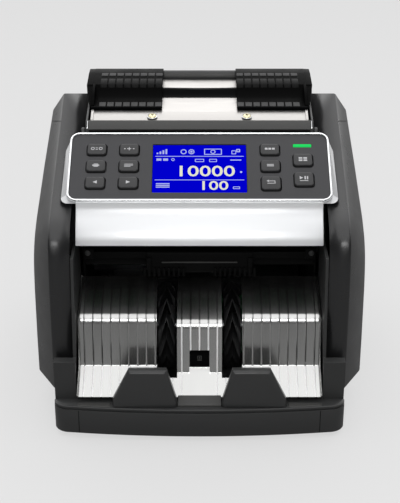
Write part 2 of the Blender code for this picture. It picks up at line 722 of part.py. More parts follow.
turned(
    "main_motor",
    [(0, -42), (9, -42), (9, -45), (24, -45), (24, -94.9), (3.4, -94.9), (3.4, -74), (0, -74)],
    along_x(*MOTOR), ZINC, 24,
)
turned(
    "motor_pulley",
    [(0, -75), (3, -75), (3, -101.8), (DRIVE_PULLEYS["motor"], -101.8), (DRIVE_PULLEYS["motor"], -108), (0, -108)],
    along_x(*MOTOR), ZINC, 20,
)
loop_belt(
    "drive_belt",
    [(*MOTOR, DRIVE_PULLEYS["motor"]), (*FEED, DRIVE_PULLEYS["feed"]), (*STACKER, DRIVE_PULLEYS["stacker"])],
    -107.6, -102.2, RUBBER,
)
loop_belt("exit_belt", [(*EXIT, 9.0), (*FEED, 12.0)], 99.4, 104.6, RUBBER)
loop_belt("pickup_belt", [(*FEED, 9.0), (*PICKUP, 9.0)], 107.4, 112.6, RUBBER)

# ---------------------------------------------------------------- electronics and feet
box("main_board", 0, 86, 104, 214, -19, -17.4, BOARD)
box("power_supply", -88, -10, 118, 206, -26.5, 5, ZINC)
for side, sign in (("left", -1), ("right", 1)):
    for end, y in (("front", 26), ("rear", 204)):
        turned(
            f"{end}_{side}_foot",
            [(0, BASE_BOTTOM - GAP), (FOOT_R, BASE_BOTTOM - GAP), (FOOT_R, -LIP_H + 0.8), (FOOT_R - 0.8, -LIP_H), (0, -LIP_H)],
            Matrix.Translation(Vector((sign * 95, y + LIP_Y, LIP_H)) * MM), RUBBER, 20,
        )
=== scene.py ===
"""Looks of the banknote counting machine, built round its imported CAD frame.

Lengths are millimetres about the lip of the note tray, (x, y, h), until put() writes them in metres.
"""

import math

import bmesh
import bpy
from mathutils import Matrix, Vector


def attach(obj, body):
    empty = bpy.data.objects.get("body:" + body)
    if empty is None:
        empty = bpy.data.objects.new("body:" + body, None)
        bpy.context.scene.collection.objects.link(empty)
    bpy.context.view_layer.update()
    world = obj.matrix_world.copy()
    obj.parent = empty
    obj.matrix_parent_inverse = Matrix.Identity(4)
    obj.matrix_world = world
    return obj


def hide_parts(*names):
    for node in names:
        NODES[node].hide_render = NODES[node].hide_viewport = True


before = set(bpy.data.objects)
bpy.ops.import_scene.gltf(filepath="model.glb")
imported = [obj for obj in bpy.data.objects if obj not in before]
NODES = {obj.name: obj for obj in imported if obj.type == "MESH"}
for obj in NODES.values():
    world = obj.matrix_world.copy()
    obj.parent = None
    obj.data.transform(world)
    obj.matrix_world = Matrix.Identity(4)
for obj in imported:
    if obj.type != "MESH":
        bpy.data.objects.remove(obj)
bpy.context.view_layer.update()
MM = 0.001
LIP = Vector((0, -110, 34))
TO_ROW = Matrix.Scale(MM, 4) @ Matrix.Translation(LIP)
PANEL_ANGLE = math.atan2(36.0, 59.0)
PANEL = Matrix.Translation((0, 58, 146)) @ Matrix.Rotation(PANEL_ANGLE, 4, "X")
scene = bpy.context.scene

# ================================================================ materials
def nodes_of(mat):
    tree = mat.node_tree
    return tree, tree.nodes, tree.links, tree.nodes["Principled BSDF"]


def surface(
    name, color, rough, metal=0.0, vary=0.06, rough_vary=0.05, scale=60.0, grain=900.0, bump=0.0, stretch=None,
    coat=0.0, coat_rough=0.1, ior=1.45, blotch=9.0, specular=None,
):
    """Principled finish whose colour, roughness and relief drift slightly over the object."""
    mat = bpy.data.materials.new(name)
    mat.use_nodes = True
    tree, nodes, links, shader = nodes_of(mat)
    where = nodes.new("ShaderNodeTexCoord")
    turn = nodes.new("ShaderNodeMapping")
    links.new(where.outputs["Object"], turn.inputs["Vector"])
    if stretch:
        turn.inputs["Scale"].default_value = stretch
    wide = nodes.new("ShaderNodeTexNoise")
    wide.inputs["Scale"].default_value = blotch
    wide.inputs["Detail"].default_value = 3
    fine = nodes.new("ShaderNodeTexNoise")
    fine.inputs["Scale"].default_value = grain
    fine.inputs["Detail"].default_value = 2
    mid = nodes.new("ShaderNodeTexNoise")
    mid.inputs["Scale"].default_value = scale
    mid.inputs["Detail"].default_value = 4
    for one in (fine, mid):
        links.new(turn.outputs["Vector"], one.inputs["Vector"])
    links.new(where.outputs["Object"], wide.inputs["Vector"])
    mix = nodes.new("ShaderNodeMix")
    mix.data_type = "RGBA"
    low = [max(0.0, c * (1 - vary)) for c in color]
    high = [min(1.0, c * (1 + vary)) for c in color]
    mix.inputs[6].default_value = (*low, 1)
    mix.inputs[7].default_value = (*high, 1)
    blend = nodes.new("ShaderNodeMath")
    blend.operation = "MULTIPLY_ADD"
    links.new(wide.outputs["Fac"], blend.inputs[0])
    blend.inputs[1].default_value = 0.6
    half = nodes.new("ShaderNodeMath")
    half.operation = "MULTIPLY"
    links.new(mid.outputs["Fac"], half.inputs[0])
    half.inputs[1].default_value = 0.4
    links.new(half.outputs[0], blend.inputs[2])
    links.new(blend.outputs[0], mix.inputs[0])
    links.new(mix.outputs[2], shader.inputs["Base Color"])
    spread = nodes.new("ShaderNodeMapRange")
    spread.inputs["From Min"].default_value = 0.3
    spread.inputs["From Max"].default_value = 0.7
    spread.inputs["To Min"].default_value = max(0.02, rough - rough_vary)
    spread.inputs["To Max"].default_value = min(1.0, rough + rough_vary)
    links.new(mid.outputs["Fac"], spread.inputs["Value"])
    links.new(spread.outputs["Result"], shader.inputs["Roughness"])
    shader.inputs["Metallic"].default_value = metal
    shader.inputs["IOR"].default_value = ior
    if specular is not None:
        shader.inputs["Specular IOR Level"].default_value = specular
    if coat:
        shader.inputs["Coat Weight"].default_value = coat
        shader.inputs["Coat Roughness"].default_value = coat_rough
    if bump:
        relief = nodes.new("ShaderNodeBump")
        relief.inputs["Strength"].default_value = bump
        relief.inputs["Distance"].default_value = 0.0002
        links.new(fine.outputs["Fac"], relief.inputs["Height"])
        links.new(relief.outputs["Normal"], shader.inputs["Normal"])
    return mat


def glow(name, color, strength, base=(0.0, 0.0, 0.0), rough=0.15, drift=0.12, shine=0.1):
    """A lit surface whose light drifts a little across it."""
    mat = surface(name, base, rough, vary=0.2, rough_vary=0.04)
    tree, nodes, links, shader = nodes_of(mat)
    where = nodes.new("ShaderNodeTexCoord")
    wide = nodes.new("ShaderNodeTexNoise")
    wide.inputs["Scale"].default_value = 25
    links.new(where.outputs["Object"], wide.inputs["Vector"])
    mix = nodes.new("ShaderNodeMix")
    mix.data_type = "RGBA"
    mix.inputs[6].default_value = (*[c * (1 - drift) for c in color], 1)
    mix.inputs[7].default_value = (*[min(1.0, c * (1 + drift)) for c in color], 1)
    links.new(wide.outputs["Fac"], mix.inputs[0])
    links.new(mix.outputs[2], shader.inputs["Emission Color"])
    shader.inputs["Emission Strength"].default_value = strength
    shader.inputs["Specular IOR Level"].default_value = shine
    return mat


BLACK = surface("black_plastic", (0.029, 0.0295, 0.0295), 0.42, bump=0.25, specular=0.35)
# The note guides are one black plastic given three tones by how light falls: the body darkest and the slats a little
# lighter as painted shade, the pads on the ribs' up-facing tops lightest as painted light.
GUIDE_SHADE_TONE = surface("guide_black_painted_shade", (0.0026, 0.0026, 0.0026), 0.38, bump=0.1, specular=0.05, ior=1.2)
SLAT_SHADE_TONE = surface("guide_slat_painted_shade", (0.0095, 0.0095, 0.0095), 0.45, bump=0.15, specular=0.1, ior=1.25)
PAD_LIT_TONE = surface("guide_pad_painted_light", (0.031, 0.031, 0.031), 0.5, bump=0.2, specular=0.15)
SATIN = surface("satin_black", (0.030, 0.0305, 0.0305), 0.34, bump=0.12, specular=0.4)
GLOSS = surface("gloss_black", (0.0022, 0.0022, 0.0024), 0.20, rough_vary=0.03, bump=0.03, specular=0.08, ior=1.25)
CHARCOAL = surface("charcoal_plastic", (0.0085, 0.0086, 0.0090), 0.31, bump=0.10, specular=0.62)
# Near-black for the parts inside the machine, far darker than the outer black plastic: painted shade for the dark
# inside, laid over their own colour.
INNER_SHADE_BLACK = surface("inner_black_painted_shade", (0.003, 0.003, 0.003), 0.6, bump=0.2, specular=0.08)
# Dark grey plastic for the deck, ledges, bars and small marks; on the rail it also stands in as a painted highlight.
DECK_GREY_AND_SHEEN = surface("deck_plastic_and_sheen", (0.044, 0.044, 0.0425), 0.45, bump=0.2, specular=0.3)
FILM = surface("panel_film", (0.040, 0.040, 0.0425), 0.42, bump=0.1, specular=0.22)
KEYS = surface("key_plastic", (0.030, 0.030, 0.031), 0.38, bump=0.1, specular=0.3)
SILVER = surface("silver_paint", (0.73, 0.74, 0.75), 0.36, metal=0.3, vary=0.015, rough_vary=0.03, grain=2500, bump=0.05, coat=0.25, coat_rough=0.12)
# A darker copy of the silver paint, used on the skirt round the panel: painted shade, the skirt being the same paint as
# the apron.
SILVER_SHADED = surface("silver_edge_painted_shade", (0.44, 0.445, 0.45), 0.36, metal=0.35, vary=0.015, rough_vary=0.03, grain=2500, bump=0.05)
CHROME = surface("chrome", (0.86, 0.87, 0.88), 0.09, metal=1.0, vary=0.01, rough_vary=0.03)
STEEL = surface("brushed_plate", (0.375, 0.363, 0.351), 0.34, metal=0.85, vary=0.035, rough_vary=0.05, stretch=(1, 14, 14), scale=40, grain=700, bump=0.06)
RIBBED = surface("ribbed_stainless", (0.47, 0.47, 0.462), 0.24, metal=1.0, vary=0.16, rough_vary=0.03, stretch=(1.6, 0.04, 0.04), scale=60, grain=500, bump=0.02)
# Near-white finish for the rib tops: a painted highlight on ribs that are the plate's own stainless.
CREST_HIGHLIGHT = surface("rib_crest_painted_highlight", (0.97, 0.97, 0.96), 0.42, metal=0.3, vary=0.02, rough_vary=0.04, bump=0.03)
ZINC = surface("zinc_plate", (0.50, 0.51, 0.52), 0.38, metal=1.0, vary=0.08, rough_vary=0.08, bump=0.1)
BRASS = surface("brass_screw", (0.62, 0.56, 0.36), 0.28, metal=1.0, vary=0.06, rough_vary=0.06, bump=0.1)
RUBBER = surface("rubber", (0.012, 0.012, 0.012), 0.62, bump=0.4, specular=0.3)
WHEEL = surface("wheel_rubber", (0.009, 0.009, 0.0095), 0.40, bump=0.15, specular=0.45)
BOARD = surface("circuit_board", (0.02, 0.14, 0.05), 0.45, vary=0.15, bump=0.3)
# White print on the keys with a faint glow of its own: painted light that brightens the print.
GLOWING_INK = glow("white_print_painted_glow", (0.9, 0.9, 0.9), 0.04, base=(0.40, 0.40, 0.41), rough=0.5)
SCREEN = glow("display_blue", (0.0, 0.0, 0.60), 1.0, base=(0.0, 0.0, 0.004), rough=0.3, drift=0.05, shine=0.0)
DIGIT = glow("display_digit", (0.80, 0.79, 0.60), 0.95, base=(0.02, 0.02, 0.02), rough=0.3, drift=0.04)
MARK = glow("display_mark", (0.50, 0.55, 0.95), 0.8, base=(0.02, 0.02, 0.03), rough=0.3, drift=0.04)
BACKING = surface("display_backing", (0.006, 0.006, 0.007), 0.5, specular=0.2)
LED = glow("green_lens", (0.01, 0.70, 0.125), 0.60, base=(0.0, 0.20, 0.03), rough=0.25)
PIN = surface("inlet_pin", (0.72, 0.70, 0.62), 0.25, metal=1.0, vary=0.05)
SEAM = surface("seam_shadow", (0.004, 0.004, 0.004), 0.8, specular=0.1)

# ================================================================ mesh helpers
def loft(loops, close=False, caps=True):
    """Closed solid through loops of (x, y, h) with equal counts."""
    bm = bmesh.new()
    rings = [[bm.verts.new(p) for p in loop] for loop in loops]
    count = len(loops[0])
    pairs = list(zip(rings, rings[1:]))
    if close:
        pairs.append((rings[-1], rings[0]))
    for a, b in pairs:
        for i in range(count):
            j = (i + 1) % count
            bm.faces.new((a[i], a[j], b[j], b[i]))
    if caps and not close:
        bm.faces.new(rings[0][::-1])
        bm.faces.new(rings[-1])
    bmesh.ops.recalc_face_normals(bm, faces=bm.faces)
    return bm


def along(outline, x0, x1):
    """A side outline of (y, h) carried across."""
    return loft([[(x0, y, h) for y, h in outline], [(x1, y, h) for y, h in outline]])


def up(outline, h0, h1):
    return loft([[(x, y, h0) for x, y in outline], [(x, y, h1) for x, y in outline]])


def back(outline, y0, y1):
    return loft([[(x, y0, h) for x, h in outline], [(x, y1, h) for x, h in outline]])


def brick(x0, x1, y0, y1, h0, h1):
    return up([(x0, y0), (x1, y0), (x1, y1), (x0, y1)], h0, h1)


def lathe(profile, spot, axis="X", steps=32):
    """A turned solid: (r, a) pairs from end to end, a measured along the axis from spot."""
    bm = bmesh.new()
    rings = []
    for r, a in profile:
        if r < 1e-6:
            rings.append([bm.verts.new((0, 0, a))])
        else:
            rings.append(
                [bm.verts.new((r * math.cos(2 * math.pi * i / steps), r * math.sin(2 * math.pi * i / steps), a)) for i in range(steps)]
            )
    for a, b in zip(rings, rings[1:]):
        for i in range(steps):
            j = (i + 1) % steps
            if len(a) == 1 and len(b) == 1:
                continue
            if len(a) == 1:
                bm.faces.new((a[0], b[i], b[j]))
            elif len(b) == 1:
                bm.faces.new((a[i], a[j], b[0]))
            else:
                bm.faces.new((a[i], a[j], b[j], b[i]))
    if len(rings[0]) > 1:
        bm.faces.new(rings[0])
    if len(rings[-1]) > 1:
        bm.faces.new(rings[-1])
    bmesh.ops.recalc_face_normals(bm, faces=bm.faces)
    turn = {"X": Matrix.Rotation(math.pi / 2, 4, "Y"), "Y": Matrix.Rotation(math.pi / 2, 4, "X"), "Z": Matrix.Identity(4)}[axis]
    bmesh.ops.transform(bm, matrix=Matrix.Translation(spot) @ turn, verts=bm.verts)
    return bm


def soften(bm, width, segments=2, degrees=28, profile=0.5):
    """Rounds every edge sharper than that."""
    limit = math.radians(degrees)
    edges = [e for e in bm.edges if len(e.link_faces) == 2 and e.calc_face_angle(0) > limit]
    if edges:
        bmesh.ops.bevel(bm, geom=edges, offset=width, segments=segments, profile=profile, affect="EDGES", clamp_overlap=True)
    bmesh.ops.recalc_face_normals(bm, faces=bm.faces)
    return bm


def move(bm, matrix):
    bmesh.ops.transform(bm, matrix=matrix, verts=bm.verts)
    return bm


def on_panel(bm):
    return move(bm, PANEL)


def fillet(points, radii, steps=5):
    """An open line whose corners are rounded; radii go with the inner points."""
    line = [points[0]]
    for i in range(1, len(points) - 1):
        a, p, b = (Vector((*points[k], 0)) for k in (i - 1, i, i + 1))
        r = radii[i - 1]
        u, w = (a - p).normalized(), (b - p).normalized()
        angle = u.angle(w)
        if r <= 0 or angle > math.pi - 0.02:
            line.append(points[i])
            continue
        reach = r / math.tan(angle / 2)
        reach = min(reach, 0.49 * (a - p).length, 0.49 * (b - p).length)
        for k in range(steps + 1):
            t = k / steps
            q = (p + u * reach) * (1 - t) ** 2 + p * 2 * t * (1 - t) + (p + w * reach) * t ** 2
            line.append((q.x, q.y))
    line.append(points[-1])
    return line


def spline(points, steps=4):
    """Catmull-Rom through tuples of any width."""
    out = []
    n = len(points)
    for i in range(n - 1):
        p0, p1, p2, p3 = points[max(0, i - 1)], points[i], points[i + 1], points[min(n - 1, i + 2)]
        for k in range(steps):
            t = k / steps
            out.append(
                tuple(
                    0.5 * (2 * b + (c - a) * t + (2 * a - 5 * b + 4 * c - d) * t * t + (3 * b - a - 3 * c + d) * t ** 3)
                    for a, b, c, d in zip(p0, p1, p2, p3)
                )
            )
    out.append(points[-1])
    return out


def rounded(cx, cy, w, l, r, steps=4):
    points = []
    for index, (sx, sy) in enumerate(((1, 1), (-1, 1), (-1, -1), (1, -1))):
        for step in range(steps + 1):
            angle = math.pi / 2 * (index + step / steps)
            points.append((cx + sx * (w / 2 - r) + r * math.cos(angle), cy + sy * (l / 2 - r) + r * math.sin(angle)))
    return points


def sheet(loops, n0, n1):
    """A flat outline in the panel's plane, the later loops being holes, as a closed plate from n0 to n1."""
    data = bpy.data.curves.new("outline", "CURVE")
    data.dimensions = "2D"
    data.fill_mode = "BOTH"
    data.extrude = abs(n1 - n0) / 2
    for loop in loops:
        line = data.splines.new("POLY")
        line.points.add(len(loop) - 1)
        for point, (a, b) in zip(line.points, loop):
            point.co = (a, b, 0, 1)
        line.use_cyclic_u = True
    return from_curve(data, (n0 + n1) / 2)


def from_curve(data, lift):
    guide = bpy.data.objects.new("outline", data)
    scene.collection.objects.link(guide)
    bpy.context.view_layer.update()
    mesh = bpy.data.meshes.new_from_object(guide.evaluated_get(bpy.context.evaluated_depsgraph_get()))
    bpy.data.objects.remove(guide, do_unlink=True)
    bm = bmesh.new()
    bm.from_mesh(mesh)
    bpy.data.meshes.remove(mesh)
    bmesh.ops.remove_doubles(bm, verts=bm.verts, dist=1e-4)
    bmesh.ops.recalc_face_normals(bm, faces=bm.faces)
    return move(bm, Matrix.Translation((0, 0, lift)))


def text(body, u, v, size, n0, n1, heavy=0.0, align="LEFT", wide=1.0):
    data = bpy.data.curves.new("figures", "FONT")
    data.body = body
    data.size = size
    data.align_x = align
    data.align_y = "CENTER"
    data.extrude = abs(n1 - n0) / 2
    data.offset = heavy
    data.resolution_u = 3
    bm = from_curve(data, (n0 + n1) / 2)
    return move(bm, Matrix.Translation((u, v, 0)) @ Matrix.Diagonal((wide, 1, 1, 1)))  # widened about its anchor


class Piece:
    """Closed solids gathered into one mesh, each with its finish."""

    def __init__(self):
        self.bm = bmesh.new()
        self.finishes = []

    def add(self, bm, finish):
        if finish not in self.finishes:
            self.finishes.append(finish)
        index = self.finishes.index(finish)
        for face in bm.faces:
            face.material_index = index
            face.smooth = True
        mesh = bpy.data.meshes.new("part")
        bm.to_mesh(mesh)
        bm.free()
        self.bm.from_mesh(mesh)
        bpy.data.meshes.remove(mesh)
        return self

    def put(self, name, body="root", stands_for=(), slot=None, degrees=32, thick=0.0, even=True):
        bmesh.ops.transform(self.bm, matrix=TO_ROW, verts=self.bm.verts)
        mesh = bpy.data.meshes.new(name)
        self.bm.to_mesh(mesh)
        self.bm.free()
        for finish in self.finishes:
            mesh.materials.append(finish)
        obj = bpy.data.objects.new(name, mesh)
        scene.collection.objects.link(obj)
        mesh.shade_smooth()
        mesh.set_sharp_from_angle(angle=math.radians(degrees))
        if thick:
            wall = obj.modifiers.new("wall", "SOLIDIFY")
            wall.thickness = thick * MM
            wall.offset = -1
            wall.use_even_offset = even
        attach(obj, body)
        if stands_for:
            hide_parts(*stands_for)
        return obj


def one(bm, finish, name, body="root", stands_for=(), slot=None, **more):
    return Piece().add(bm, finish).put(name, body, stands_for, slot, **more)

# ================================================================ side covers
STATIONS = [
    (18.2, -3.0, 45.7, -2.0, 101.8), (19.0, 30.0, 46.2, 28.0, 101.8), (20.5, 77.0, 48.8, 71.0, 101.8),
    (23.6, 103.0, 51.6, 87.0, 101.8), (27.6, 119.0, 55.2, 97.5, 101.8), (33.5, 128.0, 60.0, 104.5, 101.8),
    (43.0, 135.0, 67.0, 112.5, 101.8), (59.0, 142.0, 80.0, 121.5, 101.8), (118.0, 167.3, 128.0, 145.0, 101.8),
]
STATIONS_BACK = [
    (122.0, 169.0, 132.0, 146.9, 95.5), (183.0, 195.0, 196.0, 175.5, 95.5), (206.0, 182.0, 207.0, 166.0, 98.8),
    (226.0, 150.0, 220.0, 140.0, 98.8), (232.0, 115.0, 226.0, 108.0, 98.8), (232.0, -3.0, 226.0, -2.0, 98.8),
    (60.0, -3.0, 60.0, -2.0, 101.8),
]


def cover_half(y):
    return 134.0 - 5.0 * max(0.0, y - 60.0) / 172.0


def side_cover(side, sign):
    front = STATIONS[:2] + spline(STATIONS[2:8], 4) + STATIONS[8:]
    crease = min(range(len(front)), key=lambda i: abs(front[i][2] - 60.0) + abs(front[i][3] - 104.5))
    ring = front + STATIONS_BACK
    bm = bmesh.new()
    inner, edge, outer = [], [], []
    for y, h, oy, oh, rim in ring:
        inner.append(bm.verts.new((sign * rim, y, h)))
        edge.append(bm.verts.new((sign * 118.0, y, h)))
        outer.append(bm.verts.new((sign * cover_half(oy), oy, oh)))
    count = len(ring)
    for a, b in ((inner, edge), (edge, outer)):
        for i in range(count):
            j = (i + 1) % count
            bm.faces.new((a[i], a[j], b[j], b[i]))
    bm.faces.new([outer[-1]] + outer[: crease + 1])
    bm.faces.new(outer[crease:])
    bmesh.ops.recalc_face_normals(bm, faces=bm.faces)
    big = max(bm.faces, key=lambda f: f.calc_area())
    if big.normal.x * sign < 0:
        bmesh.ops.reverse_faces(bm, faces=bm.faces)
    loops = set(edge) | set(outer)
    edges = [
        e for e in bm.edges
        if (e.verts[0] in set(edge) and e.verts[1] in set(edge)) or (e.verts[0] in set(outer) and e.verts[1] in set(outer))
    ]
    edges = [e for e in edges if len(e.link_faces) == 2 and e.calc_face_angle(0) > 0.12]
    bmesh.ops.bevel(bm, geom=edges, offset=1.3, segments=3, profile=0.5, affect="EDGES", clamp_overlap=True)
    made = Piece().add(bm, CHARCOAL).put(
        f"{side}_cover_shell", "root", (f"{side}_side_cover",), "charcoal_plastic", degrees=24, thick=2.4
    )
    return made


side_cover("left", -1)
side_cover("right", 1)

# a fine joint line across each bevel where the upper part of the cover starts
for side, sign in (("left", -1), ("right", 1)):
    a, b = Vector((sign * 118.4, 150.0, 180.9)), Vector((sign * 130.2, 183.0, 169.6))
    ahead = Vector((0, 0.92, 0.39)).normalized()
    face = (b - a).cross(ahead).normalized() * (1 if (b - a).cross(ahead).x * sign > 0 else -1)
    strip = [a, b, b + ahead * 0.4, a + ahead * 0.4]
    line = loft([[tuple(p - face * 0.5) for p in strip], [tuple(p + face * 0.06) for p in strip]])
    one(line, SEAM, f"{side}_cover_joint", "root", slot="charcoal_plastic")

# ================================================================ base, bumper, stops
def arc_y(x):
    return -12.0 + x * x / 1760.0


def bumper_plan(inset=0.0, reach=0.0):
    """Plan outline with round front corners, pulled in by inset along the front and sides."""
    line = []
    for i in range(25):
        x = -104 + 208 * i / 24
        line.append((x, arc_y(x) + inset))
    corner = arc_y(104)
    turn = []
    for i in range(1, 9):
        a = math.pi / 2 * i / 8
        turn.append((104 + (13 - inset) * math.sin(a), corner + inset + (13 - inset) * (1 - math.cos(a)) * 0.85))
    line += turn + [(117 - inset, 5.6), (-117 + inset, 5.6)] + [(-x, y) for x, y in turn[::-1]]
    return line


def at_height(outline, h):
    return [(x, y, h) for x, y in outline]


bumper = Piece()
levels = [
    (1.4, -30.4), (0.5, -29.9), (0.0, -29.0), (0.0, -9.0), (0.25, -8.5), (1.3, -8.3), (1.3, -7.3), (0.35, -7.1),
    (0.1, -6.7), (0.25, -5.6), (0.9, -5.05),
]
bumper.add(loft([at_height(bumper_plan(i), h) for i, h in levels]), BLACK)
bar = along([(-6.7, -6.0), (-6.7, -3.9), (-1.1, 2.6), (-1.1, -6.0)], -17.4, 17.4)
bumper.add(soften(bar, 0.6, 2), DECK_GREY_AND_SHEEN)
bumper.put("bumper_moulding", "root", ("front_bumper",), "black_plastic", degrees=40)
for side, sign in (("left", -1), ("right", 1)):  # joint line down each end of the bumper
    x = sign * 96.5
    one(
        brick(*sorted((x, x + sign * 0.5)), arc_y(96.5) - 0.12, arc_y(96.5) + 1.0, -29.5, -8.8),
        SEAM, f"{side}_bumper_joint", "root", slot="black_plastic",
    )
# ledges each side of the stops, in front of the tray floor
for side, sign in (("left", -1), ("right", 1)):
    outline = [(sign * 71.0, -0.9), (sign * 71.2, arc_y(71.2) + 1.6), (sign * 84, arc_y(84) + 1.5), (sign * 97.8, arc_y(97.8) + 1.4), (sign * 97.8, -0.9)]
    one(soften(up(outline, -6.0, -4.5), 0.4, 1), DECK_GREY_AND_SHEEN, f"{side}_tray_ledge", "root", slot="black_plastic")

for side, sign in (("left", -1), ("right", 1)):
    face = [(68.4, -4.7), (67.9, 1.0), (55.0, 26.0), (27.6, 26.0), (19.4, 0.0), (19.0, -4.7)]
    rear = [(69.6, -4.9), (69.2, 1.2), (56.0, 28.0), (26.0, 28.0), (17.9, 0.0), (17.8, -4.9)]
    bm = loft(
        [
            [(sign * x, -8.0, h) for x, h in face],
            [(sign * x, -6.2, h) for x, h in rear],
            [(sign * x, -0.6, h) for x, h in rear],
        ]
    )
    one(soften(bm, 0.7, 3, 18), SATIN, f"{side}_stop_block", "root", (f"{side}_note_stop",), "gloss_black", degrees=22)

# ================================================================ silver front cover
def slope(y, lift=0.6):
    return 142.0 + (y - 59.0) * (25.3 / 59.0) + lift


def panel_loop(w, v0, v1, r, n, steps=6):
    return [tuple(PANEL @ Vector((u, v, n))) for u, v in rounded(0, (v0 + v1) / 2, w, v1 - v0, r, steps)]


def slope_loop(w, y0, y1, r, steps=6, lift=0.6):
    return [(x, y, slope(y, lift)) for x, y in rounded(0, (y0 + y1) / 2, w, y1 - y0, r, steps)]


skirt = loft(
    [
        slope_loop(219.8, 57.5, 117.2, 5.0, lift=2.2),
        slope_loop(220.8, 57.1, 117.4, 5.6, lift=2.7),
        panel_loop(212.6, -0.75, 69.3, 8.2, -2.3),
        panel_loop(212.0, -0.6, 69.1, 8.0, -1.9),
        panel_loop(207.4, 2.2, 66.4, 5.0, -1.9),
        slope_loop(213.0, 61.0, 114.0, 3.0, lift=2.2),
    ],
    close=True,
)
APRON_OUT = spline(
    [(42.0, 113.6), (43.2, 118.6), (45.8, 124.0), (49.6, 129.6), (53.8, 135.0), (56.5, 140.0), (57.3, 145.2)], 5
)
APRON_IN = spline(
    [(60.6, 145.0), (60.3, 139.2), (57.2, 133.3), (52.3, 127.6), (48.4, 122.4), (46.0, 117.8), (44.6, 113.6)], 5
)
apron = along(APRON_OUT + APRON_IN, -98.4, 98.4)
soften(apron, 0.7, 3, 40)
# the skirt takes the darker silver as painted shade, the apron the plain silver paint
silver = Piece().add(skirt, SILVER_SHADED).add(apron, SILVER)
EAR = [
    (112.5, 172.5), (118.5, 172.5), (124.6, 178.8), (125.6, 181.6), (124.6, 184.0), (122.2, 185.0),
    (119.8, 184.0), (118.8, 181.8), (118.0, 179.9), (112.5, 176.0),
]
for sign in (-1, 1):
    silver.add(soften(along(EAR, *sorted((sign * 94.9, sign * 97.6))), 0.4, 1), BLACK)
silver.put("silver_cover", "front_cover", ("front_cover",), "silver_paint", degrees=30)

# ================================================================ control panel
V0, V1 = -0.5, 68.9
SECTION = [(0.0, -1.7), (0.0, 0.45), (0.25, 0.95), (0.7, 1.2), (1.1, 1.2), (1.5, 0.95), (1.7, 0.5), (1.7, -1.7)]
ring = [panel_loop(212 - 2 * d, V0 + d, V1 - d, 8.0 - d, n, 8) for d, n in SECTION]
one(loft(ring, close=True), CHROME, "bright_frame", "front_cover", ("panel_bezel",), "chrome_trim", degrees=45)

KEYS_AT = {}
for row, letter in zip((17.2, 34.0, 51.0), "cba"):
    KEYS_AT[f"button_left_{letter}1"] = (-83.8, row, 11.0)
    KEYS_AT[f"button_left_{letter}2"] = (-57.3, row, 11.0)
KEYS_AT["button_right_a1"] = (57.3, 51.0, 11.0)
KEYS_AT["button_right_b1"] = (57.3, 34.0, 11.0)
KEYS_AT["button_right_c1"] = (57.3, 16.6, 13.0)
KEYS_AT["button_right_a2"] = (83.8, 40.2, 12.0)
KEYS_AT["button_right_b2"] = (83.8, 20.6, 13.4)

holes = [rounded(u + 0.15, v - 0.3, 15.4 + 1.7, length + 1.9, 3.0, 4) for u, v, length in KEYS_AT.values()]
holes.append(rounded(0, 32.6, 76.6, 49.2, 0.8, 2))
holes.append(rounded(84.0, 55.6, 15.6, 3.4, 0.9, 2))
plate = sheet([rounded(0, (V0 + V1) / 2, 208.2, V1 - V0 - 3.8, 6.1, 8), *holes], -1.6, 0.0)
plate = on_panel(soften(plate, 0.22, 1, 60))
well = on_panel(sheet([rounded(0, (V0 + V1) / 2, 208.0, V1 - V0 - 4.2, 6.0, 4), rounded(0, 32.6, 76.6, 49.2, 0.8, 2)], -2.35, -2.2))
Piece().add(plate, FILM).put("panel_plate", "front_cover", ("control_panel",), "panel_film", degrees=30)
one(well, SEAM, "panel_well", "front_cover", slot="panel_film")

DIAL = Piece()
DIAL.add(on_panel(sheet([rounded(0, 32.6, 76.2, 48.8, 0.6, 2)], -5.0, -1.2)), BACKING)
DIAL.add(on_panel(sheet([rounded(0, 32.6, 75.8, 48.4, 0.5, 2)], -1.15, -0.95)), SCREEN)
DIAL.put("screen_face", "front_cover", ("display",), "display_screen")


def flatbar(u0, u1, v0, v1, n0=-0.95, n1=-0.82):
    return on_panel(sheet([[(u0, v0), (u1, v0), (u1, v1), (u0, v1)]], n0, n1))


figures = Piece()
figures.add(on_panel(text("10000", 29.0, 29.6, 15.0, -0.95, -0.8, 0.15, "RIGHT", 1.3)), DIGIT)
figures.add(on_panel(text("100", 23.4, 15.2, 12.4, -0.95, -0.8, 0.13, "RIGHT", 1.3)), DIGIT)
figures.put("screen_figures", "front_cover", slot="display_screen")

marks = Piece()
marks.add(flatbar(-36.0, 36.0, 45.0, 45.5), MARK)
marks.add(flatbar(-36.0, 36.0, 21.0, 21.5), MARK)


def ring_mark(u, v, r, w, n0, n1, steps=20):
    outer = [(u + r * math.cos(2 * math.pi * i / steps), v + r * math.sin(2 * math.pi * i / steps)) for i in range(steps)]
    inner = [(u + (r - w) * math.cos(2 * math.pi * i / steps), v + (r - w) * math.sin(2 * math.pi * i / steps)) for i in range(steps)]
    return sheet([outer, inner], n0, n1)


def disc(u, v, r, n0, n1, steps=16):
    return sheet([[(u + r * math.cos(2 * math.pi * i / steps), v + r * math.sin(2 * math.pi * i / steps)) for i in range(steps)]], n0, n1)


def frame_mark(u, v, w, l, t, n0, n1):
    return sheet([rounded(u, v, w, l, 0.3, 1), rounded(u, v, w - 2 * t, l - 2 * t, 0.1, 1)], n0, n1)


